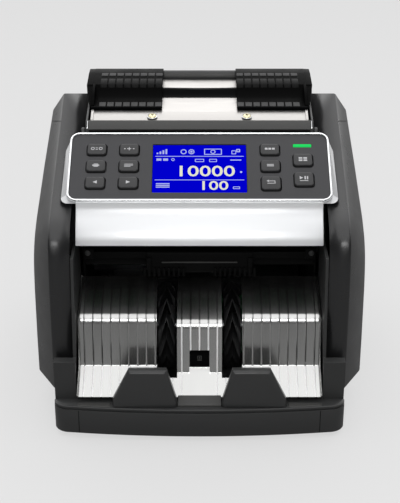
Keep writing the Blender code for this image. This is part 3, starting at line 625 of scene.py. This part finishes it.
N0, N1 = -0.95, -0.82
top = Piece()
for bm in (  # status row: signal bars, mode pips, a note outline, a link symbol
    sheet([[(-35, 47.6), (-33.6, 47.6), (-33.6, 49.0), (-35, 49.0)]], N0, N1),
    sheet([[(-32.6, 47.6), (-31.2, 47.6), (-31.2, 50.2), (-32.6, 50.2)]], N0, N1),
    sheet([[(-30.2, 47.6), (-28.8, 47.6), (-28.8, 51.4), (-30.2, 51.4)]], N0, N1),
    sheet([[(-27.8, 47.6), (-26.4, 47.6), (-26.4, 52.6), (-27.8, 52.6)]], N0, N1),
    ring_mark(-13.0, 50.0, 2.5, 0.8, N0, N1),
    ring_mark(-6.6, 50.0, 2.5, 0.8, N0, N1),
    disc(-6.6, 50.0, 1.0, N0, N1),
    frame_mark(11.0, 50.0, 14.4, 6.2, 0.7, N0, N1),
    ring_mark(11.0, 50.0, 2.1, 0.7, N0, N1),
    frame_mark(28.0, 49.4, 3.8, 3.8, 0.6, N0, N1),
    frame_mark(31.6, 51.2, 3.2, 3.2, 0.9, N0, N1),
    # second row: small pips
    sheet([[(-35, 40.8), (-31, 40.8), (-31, 43.0), (-35, 43.0)]], N0, N1),
    sheet([[(-29.6, 40.8), (-25.6, 40.8), (-25.6, 43.0), (-29.6, 43.0)]], N0, N1),
    ring_mark(-21.6, 41.9, 1.4, 0.6, N0, N1, 12),
    frame_mark(0.0, 41.0, 7.4, 3.0, 0.55, N0, N1),
    frame_mark(11.0, 41.0, 6.2, 3.0, 0.55, N0, N1),
    sheet([[(25.0, 41.0), (34.0, 41.0), (34.0, 41.9), (25.0, 41.9)]], N0, N1),
    # lower row: a stack symbol and a unit pip
    sheet([[(-35, 13.6), (-24, 13.6), (-24, 14.5), (-35, 14.5)]], N0, N1),
    sheet([[(-35, 15.3), (-24, 15.3), (-24, 16.2), (-35, 16.2)]], N0, N1),
    sheet([[(-35, 17.0), (-24, 17.0), (-24, 17.9), (-35, 17.9)]], N0, N1),
    frame_mark(29.6, 13.4, 5.6, 2.4, 0.55, N0, N1),
    disc(33.6, 29.2, 0.9, N0, N1),
):
    marks.add(on_panel(bm), MARK)
marks.put("screen_marks", "front_cover", slot="display_screen")

one(
    on_panel(soften(sheet([rounded(84.0, 55.6, 15.0, 2.8, 0.8, 3)], -3.0, 0.25), 0.2, 2, 60)),
    LED, "lens_bar", "front_cover", ("indicator_lens",), "green_lens",
)


def tri(points):
    return points


def key_marks(name):
    """White symbol outlines for a key, about its centre."""
    def rect(u0, u1, v0, v1):
        return [[(u0, v0), (u1, v0), (u1, v1), (u0, v1)]]

    def loop(u, v, r, w, steps=18):
        return [
            [(u + r * math.cos(2 * math.pi * i / steps), v + r * math.sin(2 * math.pi * i / steps)) for i in range(steps)],
            [(u + (r - w) * math.cos(2 * math.pi * i / steps), v + (r - w) * math.sin(2 * math.pi * i / steps)) for i in range(steps)],
        ]

    sets = {
        "button_left_a1": [loop(-3.2, 0.2, 1.5, 0.5), rect(-0.9, 0.9, -1.0, -0.5), rect(-0.9, 0.9, 0.6, 1.1), loop(3.2, 0.2, 1.5, 0.5)],
        "button_left_a2": [rect(-1.6, 1.6, -0.3, 0.3), rect(-0.3, 0.3, 0.42, 1.6), rect(-0.3, 0.3, -1.6, -0.42), rect(-4.2, -3.0, -0.4, 0.4), rect(3.0, 4.2, -0.4, 0.4)],
        "button_left_b1": [rect(-2.8, 2.8, -0.5, 0.6), rect(-1.8, 1.8, 0.9, 1.6), rect(-1.8, 1.8, -1.5, -0.8)],
        "button_left_b2": [rect(-3.6, 3.6, 0.9, 1.4), rect(-3.6, 3.6, -0.25, 0.25), rect(-3.6, 1.6, -1.4, -0.9)],
        "button_left_c1": [[[(1.6, 1.6), (-1.8, 0.0), (1.6, -1.6)]]],
        "button_left_c2": [[[(-1.6, 1.6), (-1.6, -1.6), (1.8, 0.0)]]],
        "button_right_a1": [rect(-4.0, -1.8, -0.9, 0.9), rect(-1.1, 1.1, -0.9, 0.9), rect(1.8, 4.0, -0.9, 0.9)],
        "button_right_b1": [rect(-2.8, 2.8, 0.7, 1.2), rect(-2.8, 2.8, -0.2, 0.3), rect(-2.8, 2.8, -1.1, -0.6)],
        "button_right_c1": [[[(-3.6, 1.6), (-1.6, 0.4), (-1.6, 2.8)]], rect(-1.4, 3.4, 1.3, 1.9), rect(2.8, 3.4, -1.0, 1.1), rect(-3.0, 2.6, -1.0, -0.4)],
        "button_right_a2": [rect(-3.4, -0.4, 0.5, 2.0), rect(0.4, 3.4, 0.5, 2.0), rect(-3.4, -0.4, -1.8, -0.3), rect(0.4, 3.4, -1.8, -0.3)],
        "button_right_b2": [[[(-3.4, 2.4), (-3.4, -0.8), (-0.6, 0.8)]], rect(0.4, 1.5, -0.8, 2.4), rect(2.3, 3.4, -0.8, 2.4), rect(-3.4, 3.4, -2.4, -1.8)],
    }
    return sets[name]


for name, (u, v, length) in KEYS_AT.items():
    section = [(-2.6, 0.0), (-1.3, -0.08), (-0.65, -0.3), (-0.2, -0.75), (0.0, -1.4), (0.0, -3.9), (1.4, -3.9), (1.4, -5.4)]
    loops = [
        [(a + u, b + v, 1.7 + z) for a, b in rounded(0, 0, 15.4 + g, length + g, max(0.9, 2.4 + g / 2), 4)] for g, z in section
    ]
    one(on_panel(loft(loops)), KEYS, name.replace("button", "key"), name, (name,), "button_plastic", degrees=50)
    symbol = Piece()
    for outline in key_marks(name):
        # the symbols take the white print with its painted glow
        symbol.add(on_panel(move(sheet(outline, 1.66, 1.76), Matrix.Translation((u, v + 0.1, 0)))), GLOWING_INK)
    symbol.put(name.replace("button", "symbol"), name, slot="button_plastic")

# ================================================================ hopper
def plate_h(y):
    return 192.0 + (y - 142.0) * 0.2115


deck = Piece()
deck.add(soften(along([(119.0, 184.4), (126.3, 189.6), (127.6, 189.4), (128.0, 188.2), (120.2, 182.9)], -92.4, 92.4), 0.35, 2), DECK_GREY_AND_SHEEN)
WALL_LINE = [
    (119.4, 178.6), (119.4, 184.5), (126.3, 189.5), (130.5, 190.4), (142, plate_h(142) + 0.6),
    (196.4, plate_h(196.4) + 0.6), (196.6, 209.9), (206.5, 209.9), (206.5, 189), (190, 186), (126, 171.5), (121, 174.5),
]
for sign in (-1, 1):
    deck.add(soften(along(WALL_LINE, *sorted((sign * 92.7, sign * 94.3))), 0.3, 1), BLACK)
    deck.add(soften(brick(*sorted((sign * 91.5, sign * 94.3)), 119.6, 127.2, 176.0, 184.8), 0.3, 1), BLACK)
deck.add(soften(brick(-93, 93, 204.5, 206.3, 190, 203.5), 0.3, 1), BLACK)
deck.put("hopper_deck", "root", ("hopper_frame",), "black_plastic", degrees=40)
for side, sign in (("left", -1), ("right", 1)):  # bright ends of the cover's hinge bracket beside the deck
    one(
        soften(along([(119.6, 183.4), (120.4, 185.9), (125.6, 189.6), (126.2, 188.6), (121.0, 184.6)], *sorted((sign * 92.6, sign * 92.95))), 0.08, 1),
        CHROME, f"{side}_deck_edge", "root", slot="chrome_trim",
    )

PLATE = fillet([(127.4, 176.0), (129.6, 187.8), (142.0, 192.0), (196.0, plate_h(196))], [2.2, 8.0], 5)
PLATE_U = [(y + 0.25, h - 0.9) for y, h in PLATE][::-1]
plate = Piece()
plate.add(soften(along(PLATE + PLATE_U, -88.9, 88.9), 0.12, 1, 60), STEEL)
for sign in (-1, 1):  # folded lips at both ends
    lip = [(y, h + 1.3) for y, h in PLATE[3:]] + [(y, h - 0.6) for y, h in PLATE[3:]][::-1]
    plate.add(soften(along(lip, *sorted((sign * 88.7, sign * 90.8))), 0.6, 3, 40), STEEL)
plate.put("hopper_sheet", "root", ("hopper_plate",), "hopper_steel", degrees=30)

for side, sign in (("left", -1), ("right", 1)):
    lean = Matrix.Translation((sign * 39.5, 134.6, plate_h(134.6) - 0.05)) @ Matrix.Rotation(math.atan(0.2115), 4, "X")
    head = Piece()
    head.add(
        move(lathe([(0, 1.15), (0.9, 1.15), (1.0, 1.42), (2.1, 1.45), (3.0, 1.05), (3.5, 0.35), (3.5, 0.1), (0, 0.1)], (0, 0, 0), "Z", 28), lean),
        BRASS,
    )
    head.add(move(lathe([(0, 0.32), (4.1, 0.32), (4.3, 0.2), (4.3, 0.02), (0, 0.02)], (0, 0, 0), "Z", 28), lean), ZINC)
    for turn in (0.35, 0.35 + math.pi / 2):
        slot_bm = move(brick(-1.5, 1.5, -0.28, 0.28, 1.2, 1.5), lean @ Matrix.Rotation(turn, 4, "Z"))
        head.add(slot_bm, SEAM)
    head.put(f"{side}_screw_head", "root", (f"{side}_plate_screw",), "brass_screw", degrees=35)

# glossy stop behind the plate: its upper edge dips towards the middle
rest_loops = []
for i in range(25):
    x = -91 + 182 * i / 24
    dip = 1.7 * (1 - (x / 60.0) ** 2) if abs(x) < 60 else 0.0
    rest_loops.append(
        [(x, y, h) for y, h in ((165, 197.2), (166.8, 197.8), (168.6, 198.9), (170.0, 200.3), (170.9, 202.2), (171.5, 204.1 - dip), (172.6, 204.4 - dip), (175, 204.2 - dip), (175, 199.4))]
    )
one(loft(rest_loops), GLOSS, "rest_moulding", "root", ("note_rest",), "gloss_black", degrees=35)

RAIL = [(198.2, 200.6), (198.0, 204.6), (198.5, 206.6), (199.4, 208.4), (201.0, 209.6), (203.0, 209.9), (203.9, 209.2), (203.9, 200.6)]
rail = Piece().add(soften(along(RAIL, -91.1, 91.1), 0.4, 2, 50), BLACK)
# a lighter strip along the rail's rounded front between the guides: a painted highlight
rail.add(soften(along([(197.9, 205.2), (198.2, 206.9), (199.2, 208.7), (199.6, 208.3), (198.8, 206.6), (198.5, 205.2)], -31.2, 31.2), 0.1, 1, 60), DECK_GREY_AND_SHEEN)
rail.put("rail_bar", "root", ("guide_rail",), "gloss_black", degrees=30)


def top_line(y):
    """Height of a guide's smooth upper face."""
    return 207.9 + (y - 167.5) * (4.6 / 29.0)


for side, sign in (("left", -1), ("right", 1)):
    core = [(143.0, 192.95), (143.3, 195.7), (152.0, 197.3)]
    core += spline([(152.0, 197.3), (158.6, 199.0), (163.3, 202.3), (165.9, 205.8), (167.6, 207.9)], 4)[1:]
    core += [(189.0, top_line(189.0)), (191.2, 211.5), (196.5, 211.5), (203.2, 211.4), (203.6, 211.0), (203.6, 210.2), (195.9, 210.2), (195.2, 206.8)]
    core += [(176.3, 205.2), (170.2, 205.2), (169.6, 201.4), (167.2, 199.1), (163.5, 197.2)]
    guide = Piece()
    guide.add(soften(along(core, *sorted((sign * 31.6, sign * 91.2))), 0.3, 2, 40), GUIDE_SHADE_TONE)
    end = [
        (166.6, 206.4), (167.7, 207.9), (191.0, 211.3), (203.4, 211.3), (203.4, 210.3), (195.7, 210.3), (195.0, 207.0), (170.4, 205.6),
    ]
    inner = [(sign * 90.6, y, h) for y, h in end]
    outer = [(sign * 96.3, y, h - 0.25) for y, h in end]
    guide.add(soften(loft([inner, outer]), 0.4, 2, 40), GUIDE_SHADE_TONE)
    cheek = [(144.0, 193.9), (144.8, 196.7), (154.5, 201.6), (166.8, 206.6), (170.6, 205.7), (168.4, 200.8), (163.3, 197.8)]
    inner = [(sign * 90.9, y, h) for y, h in cheek]
    outer = [(sign * (91.9 + 4.4 * max(0.0, min(1.0, (y - 144.0) / 22.0))), y, h) for y, h in cheek]
    guide.add(soften(loft([inner, outer]), 0.3, 2, 40), GUIDE_SHADE_TONE)
    guide.add(
        soften(along([(144.5, 193.7), (145, 197.0), (155, 203.4), (168, 208.2), (169.5, 205.0), (168.4, 200.6), (163.3, 197.6)], *sorted((sign * 88.8, sign * 91.1))), 0.35, 2),
        GUIDE_SHADE_TONE,
    )
    pitch = 6.72
    count = 8
    # the pads take the lighter tone as painted light on lit tops, the slats and body the painted shade
    for i in range(count):  # ribs: a raised pad behind, a slat in front, and a low pad on the front ledge
        a = 32.0 + i * pitch
        b = min(a + 5.5, 90.9)
        x0, x1 = sorted((sign * a, sign * b))
        pad = [(183.0, top_line(183.0) - 0.6), (183.0, top_line(183.0) + 0.5), (183.6, top_line(183.6) + 0.7), (188.2, top_line(188.2) + 0.7), (189.0, top_line(189.0) - 0.6)]
        guide.add(soften(along(pad, x0, x1), 0.25, 1, 40), PAD_LIT_TONE)
        slat = [(178.0, top_line(178.0) - 0.6), (177.6, top_line(177.6) + 0.55), (168.2, top_line(168.2) + 0.55), (166.6, 207.3), (165.6, 205.6), (166.8, 205.0)]
        guide.add(soften(along(slat, x0, x1), 0.3, 2, 40), SLAT_SHADE_TONE)
        ledge = [(144.1, 195.3), (144.3, 196.25), (150.9, 197.45), (151.7, 197.0), (151.3, 195.8)]
        guide.add(soften(along(ledge, x0, x1), 0.15, 1, 40), PAD_LIT_TONE)
    guide.add(soften(along([(142.9, 193.3), (143.1, 195.6), (144.1, 196.0), (144.2, 193.5)], *sorted((sign * 31.8, sign * 91.0))), 0.2, 1), GLOSS)
    guide.put(f"{side}_guide_moulding", f"{side}_note_guide", (f"{side}_note_guide",), "gloss_black", degrees=30)

# ================================================================ stacker plate, ribbed
OUTER_LINE = fillet([(0.0, 0.0), (24.99, 14.54), (33.9, 53.7), (75.0, 70.8)], [1.4, 10.0], 12)
CENTRE_LINE = fillet([(0.0, 0.0), (19.11, 11.12), (27.4, 52.0), (75.0, 70.8)], [1.2, 9.0], 12)
RECESS_LINE = fillet([(0.0, 0.0), (23.0, 13.4), (26.75, 29.9)], [1.6], 6)
RIB_PITCH = 7.18


def rib(x):
    return 0.0


def crests(piece, line, x0, x1, half=0.62, rise=0.34):
    """Rounded ribs pressed into a sheet between x0 and x1: near-white up to the shoulder as a painted highlight, in the
    plate's own finish behind it.
    """
    normals = line_normals(line)
    turn = next((i for i, n in enumerate(normals) if line[i][0] > 20 and n[1] > 0.62), len(line))
    # ribs up to the shoulder take the painted highlight
    spans = [(0, min(turn + 1, len(line)), CREST_HIGHLIGHT)]
    if turn + 1 < len(line):
        spans.append((turn, len(line), RIBBED))
    for k in range(-14, 15):
        cx = k * RIB_PITCH
        if not (x0 + half < cx < x1 - half):
            continue
        for first, last, finish in spans:
            if last - first < 2:
                continue
            loops = []
            for d in (-half, -half * 0.6, 0.0, half * 0.6, half):
                wave = math.cos(d / half * math.pi / 2)
                upper, lower = [], []
                for i in range(first, last):
                    (y, h), n = line[i], normals[i]
                    past = max(0.0, min(1.0, (y - 32.0) / 12.0))
                    lift = rise * wave * (1 - 0.65 * past)
                    sink, wide = 0.3, d
                    if first and i == first:  # tucked inside the span before, so no two ends meet face to face
                        y, h = y - n[1] * 0.12, h + n[0] * 0.12
                        lift, sink, wide = lift * 0.9, 0.26, d * 0.94
                    upper.append((cx + wide, y + n[0] * lift, h + n[1] * lift))
                    lower.append((cx + wide, y - n[0] * sink, h - n[1] * sink))
                loops.append(upper + lower[::-1])
            piece.add(loft(loops), finish)


def rib_stops(x0, x1, ribs=True):
    spots = {x0, x1}
    if ribs:
        for k in range(-14, 15):
            for d in (-0.8, -0.55, -0.28, 0.0, 0.28, 0.55, 0.8):
                x = k * RIB_PITCH + d
                if x0 < x < x1:
                    spots.add(x)
    return sorted(spots)


def line_normals(line):
    out = []
    for i in range(len(line)):
        a, b = line[max(0, i - 1)], line[min(len(line) - 1, i + 1)]
        d = Vector((b[0] - a[0], b[1] - a[1])).normalized()
        out.append((-d.y, d.x))
    return out


def clip(line, y0=None, y1=None):
    """The part of a line between two depths."""
    out = []
    for (ya, ha), (yb, hb) in zip(line, line[1:]):
        for y, h in ((ya, ha),):
            if (y0 is None or y >= y0) and (y1 is None or y <= y1):
                out.append((y, h))
        for cut in (y0, y1):
            if cut is not None and min(ya, yb) < cut < max(ya, yb):
                t = (cut - ya) / (yb - ya)
                out.append((cut, ha + (hb - ha) * t))
    if (y1 is None or line[-1][0] <= y1) and (y0 is None or line[-1][0] >= y0):
        out.append(line[-1])
    return out


def ribbed_strip(line, x0, x1, thick=0.9, ribs=True, rim=0):
    """Sheet along a side line, left flat since rib() adds no rise; rim -1 or 1 turns up its outer edge."""
    normals = line_normals(line)
    stops = rib_stops(x0, x1, ribs)
    if rim:
        edge = x0 if rim < 0 else x1
        inner = sorted({*[s for s in stops if abs(s - edge) > 2.6], edge - rim * 2.4, edge - rim * 1.6, edge - rim * 0.8, edge})
        stops = inner
    loops = []
    for x in stops:
        lift = rib(x) if ribs else 0.0
        if rim:
            d = 2.4 - abs((x0 if rim < 0 else x1) - x)
            if d >= 0:
                lift = 0.32 * d * d
        upper = [(x, y + n[0] * lift, h + n[1] * lift) for (y, h), n in zip(line, normals)]
        lower = [(x, y - n[0] * thick, h - n[1] * thick) for (y, h), n in zip(line, normals)]
        loops.append(upper + lower[::-1])
    return loft(loops)


floor = Piece()
floor.add(ribbed_strip(OUTER_LINE, -98.2, -34.7, ribs=False, rim=-1), RIBBED)
floor.add(ribbed_strip(OUTER_LINE, 34.7, 98.2, ribs=False, rim=1), RIBBED)
crests(floor, OUTER_LINE, -97.0, -34.7)
crests(floor, OUTER_LINE, 34.7, 97.0)
for sign in (-1, 1):
    a, b = sorted((sign * 34.79, sign * 18.02))
    for piece_line in (clip(OUTER_LINE, None, 15.0),):
        floor.add(ribbed_strip(piece_line, a, b, ribs=False), RIBBED)
        crests(floor, piece_line, a, b)
    a, b = sorted((sign * 8.4, sign * 18.1))
    floor.add(ribbed_strip(CENTRE_LINE, a, b, ribs=False), RIBBED)
    crests(floor, CENTRE_LINE, a, b, half=0.6)
CENTRE_TOP = clip(CENTRE_LINE, 22.9, None)
floor.add(ribbed_strip(CENTRE_TOP, -8.48, 8.48, ribs=False), RIBBED)
crests(floor, CENTRE_TOP, -8.4, 8.4)
floor.add(ribbed_strip(RECESS_LINE, -8.44, 8.44, ribs=False, thick=0.8), RIBBED)
for sign in (-1, 1):  # side walls of the sensor's recess
    a, b = sorted((sign * 8.33, sign * 8.9))
    floor.add(along([(17.5, 9.6), (24.0, 12.0), (27.5, 29.9), (22.95, 29.9), (20.2, 15.5), (19.2, 11.6)], a, b), RIBBED)
floor.put("ribbed_floor", "root", ("stacker_plate",), "ribbed_stainless", degrees=26)

window = Piece()
face = [(22.9, 14.6), (25.6, 29.3), (27.2, 29.3), (24.3, 14.6)]
window.add(soften(along(face, -8.0, 8.0), 0.3, 2), GLOSS)
tilt = math.atan2(2.7, 14.7)
spot = Matrix.Translation((0, 24.25, 21.95)) @ Matrix.Rotation(-tilt, 4, "X") @ Matrix.Rotation(math.pi / 2, 4, "X")
for bm in (
    frame_mark(0, 0.3, 3.6, 3.0, 0.45, 0.0, 0.09), disc(0, 0.3, 0.6, 0.0, 0.09, 12),
    sheet([[(-1.8, -2.2), (1.8, -2.2), (1.8, -1.8), (-1.8, -1.8)]], 0.0, 0.09),
):
    window.add(move(bm, spot), DECK_GREY_AND_SHEEN)
window.put("sensor_window", "root", ("stack_sensor",), "gloss_black", degrees=30)

# ================================================================ fan wheels
WHEEL_AT = (60.0, 33.0)
BLADES = 14


def blade(start, cx, half=6.6, root=12.0, tip=36.6, sweep=0.42, chevron=0.62):
    """A soft finger, curved back as it goes out and swept into a V across its width."""
    xs = [-half, -half * 0.66, -half * 0.33, 0.0, half * 0.33, half * 0.66, half]
    ts = [0, 0.25, 0.5, 0.75, 0.92, 1.0]
    loops = []
    for x in xs:
        lead, trail = [], []
        for t in ts:
            r = root + (tip - root) * t - (1.2 * (abs(x) / half) ** 2 if t == 1.0 else 0.0)
            bend = start + sweep * t * t + chevron * (abs(x) / half) * t
            thick = 1.15 * (1 - 0.5 * t) / r
            lead.append((cx + x, WHEEL_AT[0] + r * math.cos(bend + thick / 2), WHEEL_AT[1] + r * math.sin(bend + thick / 2)))
            trail.append((cx + x, WHEEL_AT[0] + r * math.cos(bend - thick / 2), WHEEL_AT[1] + r * math.sin(bend - thick / 2)))
        loops.append(lead + trail[::-1])
    return loft(loops)


for side, sign in (("left", -1), ("right", 1)):
    cx = sign * 26.6
    wheel = Piece()
    for i in range(BLADES):
        wheel.add(blade(math.pi - 0.62 + 2 * math.pi * i / BLADES, cx), WHEEL)
    wheel.add(
        lathe([(4.2, -6.6), (12.6, -6.6), (13.4, -5.9), (13.4, 5.9), (12.6, 6.6), (4.2, 6.6)], (cx, *WHEEL_AT), "X", 36), WHEEL
    )
    wheel.put(f"{side}_fan_wheel", "stacker", (f"{side}_stacker_wheel",), "rubber", degrees=40)

# ================================================================ housing above the stacker, with its comb
house = Piece()
# the housing lies in the dark cavity and takes the near-black painted shade
house.add(soften(along([(64.0, 80.6), (64.0, 96.6), (65.2, 98.0), (78.0, 98.0), (78.0, 79.0), (65.4, 79.0)], -43.0, 43.0), 0.6, 2), INNER_SHADE_BLACK)
house.add(soften(brick(-31, 31, 63.4, 64.6, 88.4, 89.6), 0.3, 1), DECK_GREY_AND_SHEEN)
house.add(soften(brick(-94.6, 94.6, 69, 75, 90, 96), 0.5, 2), INNER_SHADE_BLACK)
for sign in (-1, 1):
    for i in range(9):  # comb teeth each side of the middle
        x = sign * (13.0 + i * 4.0)
        house.add(soften(brick(x - 1.1, x + 1.1, 62.2, 66.0, 76.8, 84.6), 0.4, 1), INNER_SHADE_BLACK)
    bracket = brick(*sorted((sign * 39.4, sign * 43.4)), 62.6, 66.0, 82.5, 93.5)
    house.add(soften(bracket, 0.7, 2), INNER_SHADE_BLACK)
    house.add(soften(brick(*sorted((sign * 86.5, sign * 94.5)), 67.6, 69.4, 90.4, 99.4), 0.4, 1), INNER_SHADE_BLACK)
    house.add(lathe([(0, 0.9), (1.5, 0.9), (2.2, 0.5), (2.4, 0), (0, 0)], (sign * 91.6, 67.6, 95.6), "Y", 20), BLACK)
house.put("note_sensor_housing", "root", ("sensor_bar",), "black_plastic", degrees=40)

# ================================================================ the back: screws, rating plate, socket pins
for i, (x, h) in enumerate(((-90, 108), (90, 108), (-90, -20), (90, -20))):
    screw = Piece()
    screw.add(lathe([(0, 0.3), (1.9, 0.3), (2.8, 0.75), (3.1, 1.3), (3.1, 2.6), (0, 2.6)], (x, 228.0, h), "Y", 24), ZINC)
    screw.put(f"rear_screw_{i}", "root", slot="zinc_plate")
label = Piece()
label.add(soften(brick(-88, -46, 229.4, 229.75, 60, 86), 0.15, 1), ZINC)
label.put("rating_plate", "root", slot="zinc_plate")
pins = Piece()
for x, h in ((-72.6, 12.4), (-63.4, 12.4), (-68.0, 17.2)):
    pins.add(soften(brick(x - 1.9, x + 1.9, 215.6, 227.0, h - 0.9, h + 0.9), 0.35, 2), PIN)
pins.put("inlet_pins", "root", slot="zinc_plate")

# ================================================================ finishes of the carried CAD pieces
# parts inside the machine such as the frame plates, hinge rod and pocket liner take the near-black painted shade
PLAIN = {
    "base_tray": BLACK, "rear_cover": CHARCOAL, "power_inlet": BLACK, "switch_frame": BLACK, "power_switch": GLOSS,
    "left_frame_plate": INNER_SHADE_BLACK, "right_frame_plate": INNER_SHADE_BLACK, "cover_hinge_rod": INNER_SHADE_BLACK, "control_board": BOARD, "main_board": BOARD,
    "stacker_shaft": ZINC, "pocket_liner": INNER_SHADE_BLACK, "exit_roller": RUBBER, "feed_drum": RUBBER, "pickup_roller": RUBBER,
    "main_motor": ZINC, "motor_pulley": ZINC, "drive_belt": RUBBER, "exit_belt": RUBBER, "pickup_belt": RUBBER, "power_supply": ZINC,
    "front_left_foot": RUBBER, "front_right_foot": RUBBER, "rear_left_foot": RUBBER, "rear_right_foot": RUBBER,
}
for name, finish in PLAIN.items():
    mesh = NODES[name].data
    mesh.materials.clear()
    mesh.materials.append(finish)
for name in ("base_tray", "rear_cover", "power_inlet", "switch_frame", "power_switch"):
    obj = NODES[name]
    weld = obj.modifiers.new("weld", "WELD")
    weld.merge_threshold = 0.00002
    round_edges = obj.modifiers.new("edges", "BEVEL")
    round_edges.width = 0.0004
    round_edges.segments = 2
    round_edges.limit_method = "ANGLE"
    round_edges.angle_limit = math.radians(40)

# ================================================================ stage, light and camera
FLOOR_GLOW = 0.60


def plain_floor():
    mesh = bpy.data.meshes.new("studio_floor")
    size = 12.0
    mesh.from_pydata([(-size, -size, 0), (size, -size, 0), (size, size, 0), (-size, size, 0)], [], [(0, 1, 2, 3)])
    obj = bpy.data.objects.new("studio_floor", mesh)
    scene.collection.objects.link(obj)
    mat = bpy.data.materials.new("studio_floor")
    mat.use_nodes = True
    tree, nodes, links, shader = nodes_of(mat)
    shader.inputs["Base Color"].default_value = (0.13, 0.13, 0.13, 1)
    shader.inputs["Roughness"].default_value = 1.0
    shader.inputs["Specular IOR Level"].default_value = 0.0
    seen = nodes.new("ShaderNodeLightPath")
    pick = nodes.new("ShaderNodeMix")
    pick.data_type = "FLOAT"
    links.new(seen.outputs["Is Camera Ray"], pick.inputs[0])
    pick.inputs[2].default_value = 0.20
    pick.inputs[3].default_value = FLOOR_GLOW
    shader.inputs["Emission Color"].default_value = (1.0, 1.0, 1.0, 1)
    links.new(pick.outputs[0], shader.inputs["Emission Strength"])
    mesh.materials.append(mat)


plain_floor()


def softbox(name, spot, aim, width, height, power):
    data = bpy.data.lights.new(name, "AREA")
    data.shape = "RECTANGLE"
    data.size, data.size_y = width, height
    data.energy = power
    obj = bpy.data.objects.new(name, data)
    obj.location = spot
    obj.rotation_euler = (Vector(aim) - Vector(spot)).to_track_quat("-Z", "Y").to_euler()
    scene.collection.objects.link(obj)
    return obj


softbox("overhead", (0, -0.3, 1.5), (0, -0.1, 0.1), 2.3, 1.9, 17)
softbox("front_fill", (0, -1.7, 1.1), (0, 0, 0.12), 1.1, 0.45, 12)
softbox("back_high", (0, 1.3, 1.65), (0, 0.05, 0.2), 1.2, 0.6, 3.5)
softbox("left_side", (-1.5, 0.2, 1.0), (0, 0, 0.12), 0.6, 1.0, 2.4)
softbox("right_side", (1.5, 0.2, 1.0), (0, 0, 0.12), 0.6, 1.0, 2.4)

world = bpy.data.worlds.new("studio")
scene.world = world
world.use_nodes = True
wn, wl = world.node_tree.nodes, world.node_tree.links
ground = wn["Background"]
spread = wn.new("ShaderNodeTexCoord")
split = wn.new("ShaderNodeSeparateXYZ")
wl.new(spread.outputs["Generated"], split.inputs[0])
ramp = wn.new("ShaderNodeValToRGB")
ramp.color_ramp.elements[0].position = 0.05
ramp.color_ramp.elements[0].color = (0.05, 0.05, 0.05, 1)
ramp.color_ramp.elements[1].position = 0.9
ramp.color_ramp.elements[1].color = (0.55, 0.55, 0.56, 1)
wl.new(split.outputs["Z"], ramp.inputs[0])
rear = wn.new("ShaderNodeMapRange")
rear.interpolation_type = "SMOOTHSTEP"
rear.inputs["From Min"].default_value = 0.12
rear.inputs["From Max"].default_value = 0.72
rear.inputs["To Min"].default_value = 0.0
rear.inputs["To Max"].default_value = 1.7
wl.new(split.outputs["Y"], rear.inputs["Value"])
around = wn.new("ShaderNodeMix")
around.data_type = "RGBA"
around.blend_type = "ADD"
around.inputs[0].default_value = 1.0
wl.new(ramp.outputs[0], around.inputs[6])
wl.new(rear.outputs["Result"], around.inputs[7])
seen = wn.new("ShaderNodeLightPath")
pick = wn.new("ShaderNodeMix")
pick.data_type = "RGBA"
wl.new(seen.outputs["Is Camera Ray"], pick.inputs[0])
wl.new(around.outputs[2], pick.inputs[6])
pick.inputs[7].default_value = (0.708, 0.708, 0.708, 1)
wl.new(pick.outputs[2], ground.inputs["Color"])
ground.inputs["Strength"].default_value = 1.0

scene.view_settings.view_transform = "Standard"
camera = bpy.data.cameras.new("camera")
camera.lens = 85.88
camera.sensor_width = 36.0
camera.clip_end = 60.0
eye = bpy.data.objects.new("camera", camera)
eye.location = (0.0004, -0.9317, 0.5457)
eye.rotation_euler = (math.radians(65.0), 0, 0)
scene.collection.objects.link(eye)
scene.camera = eye

bpy.context.view_layer.update()
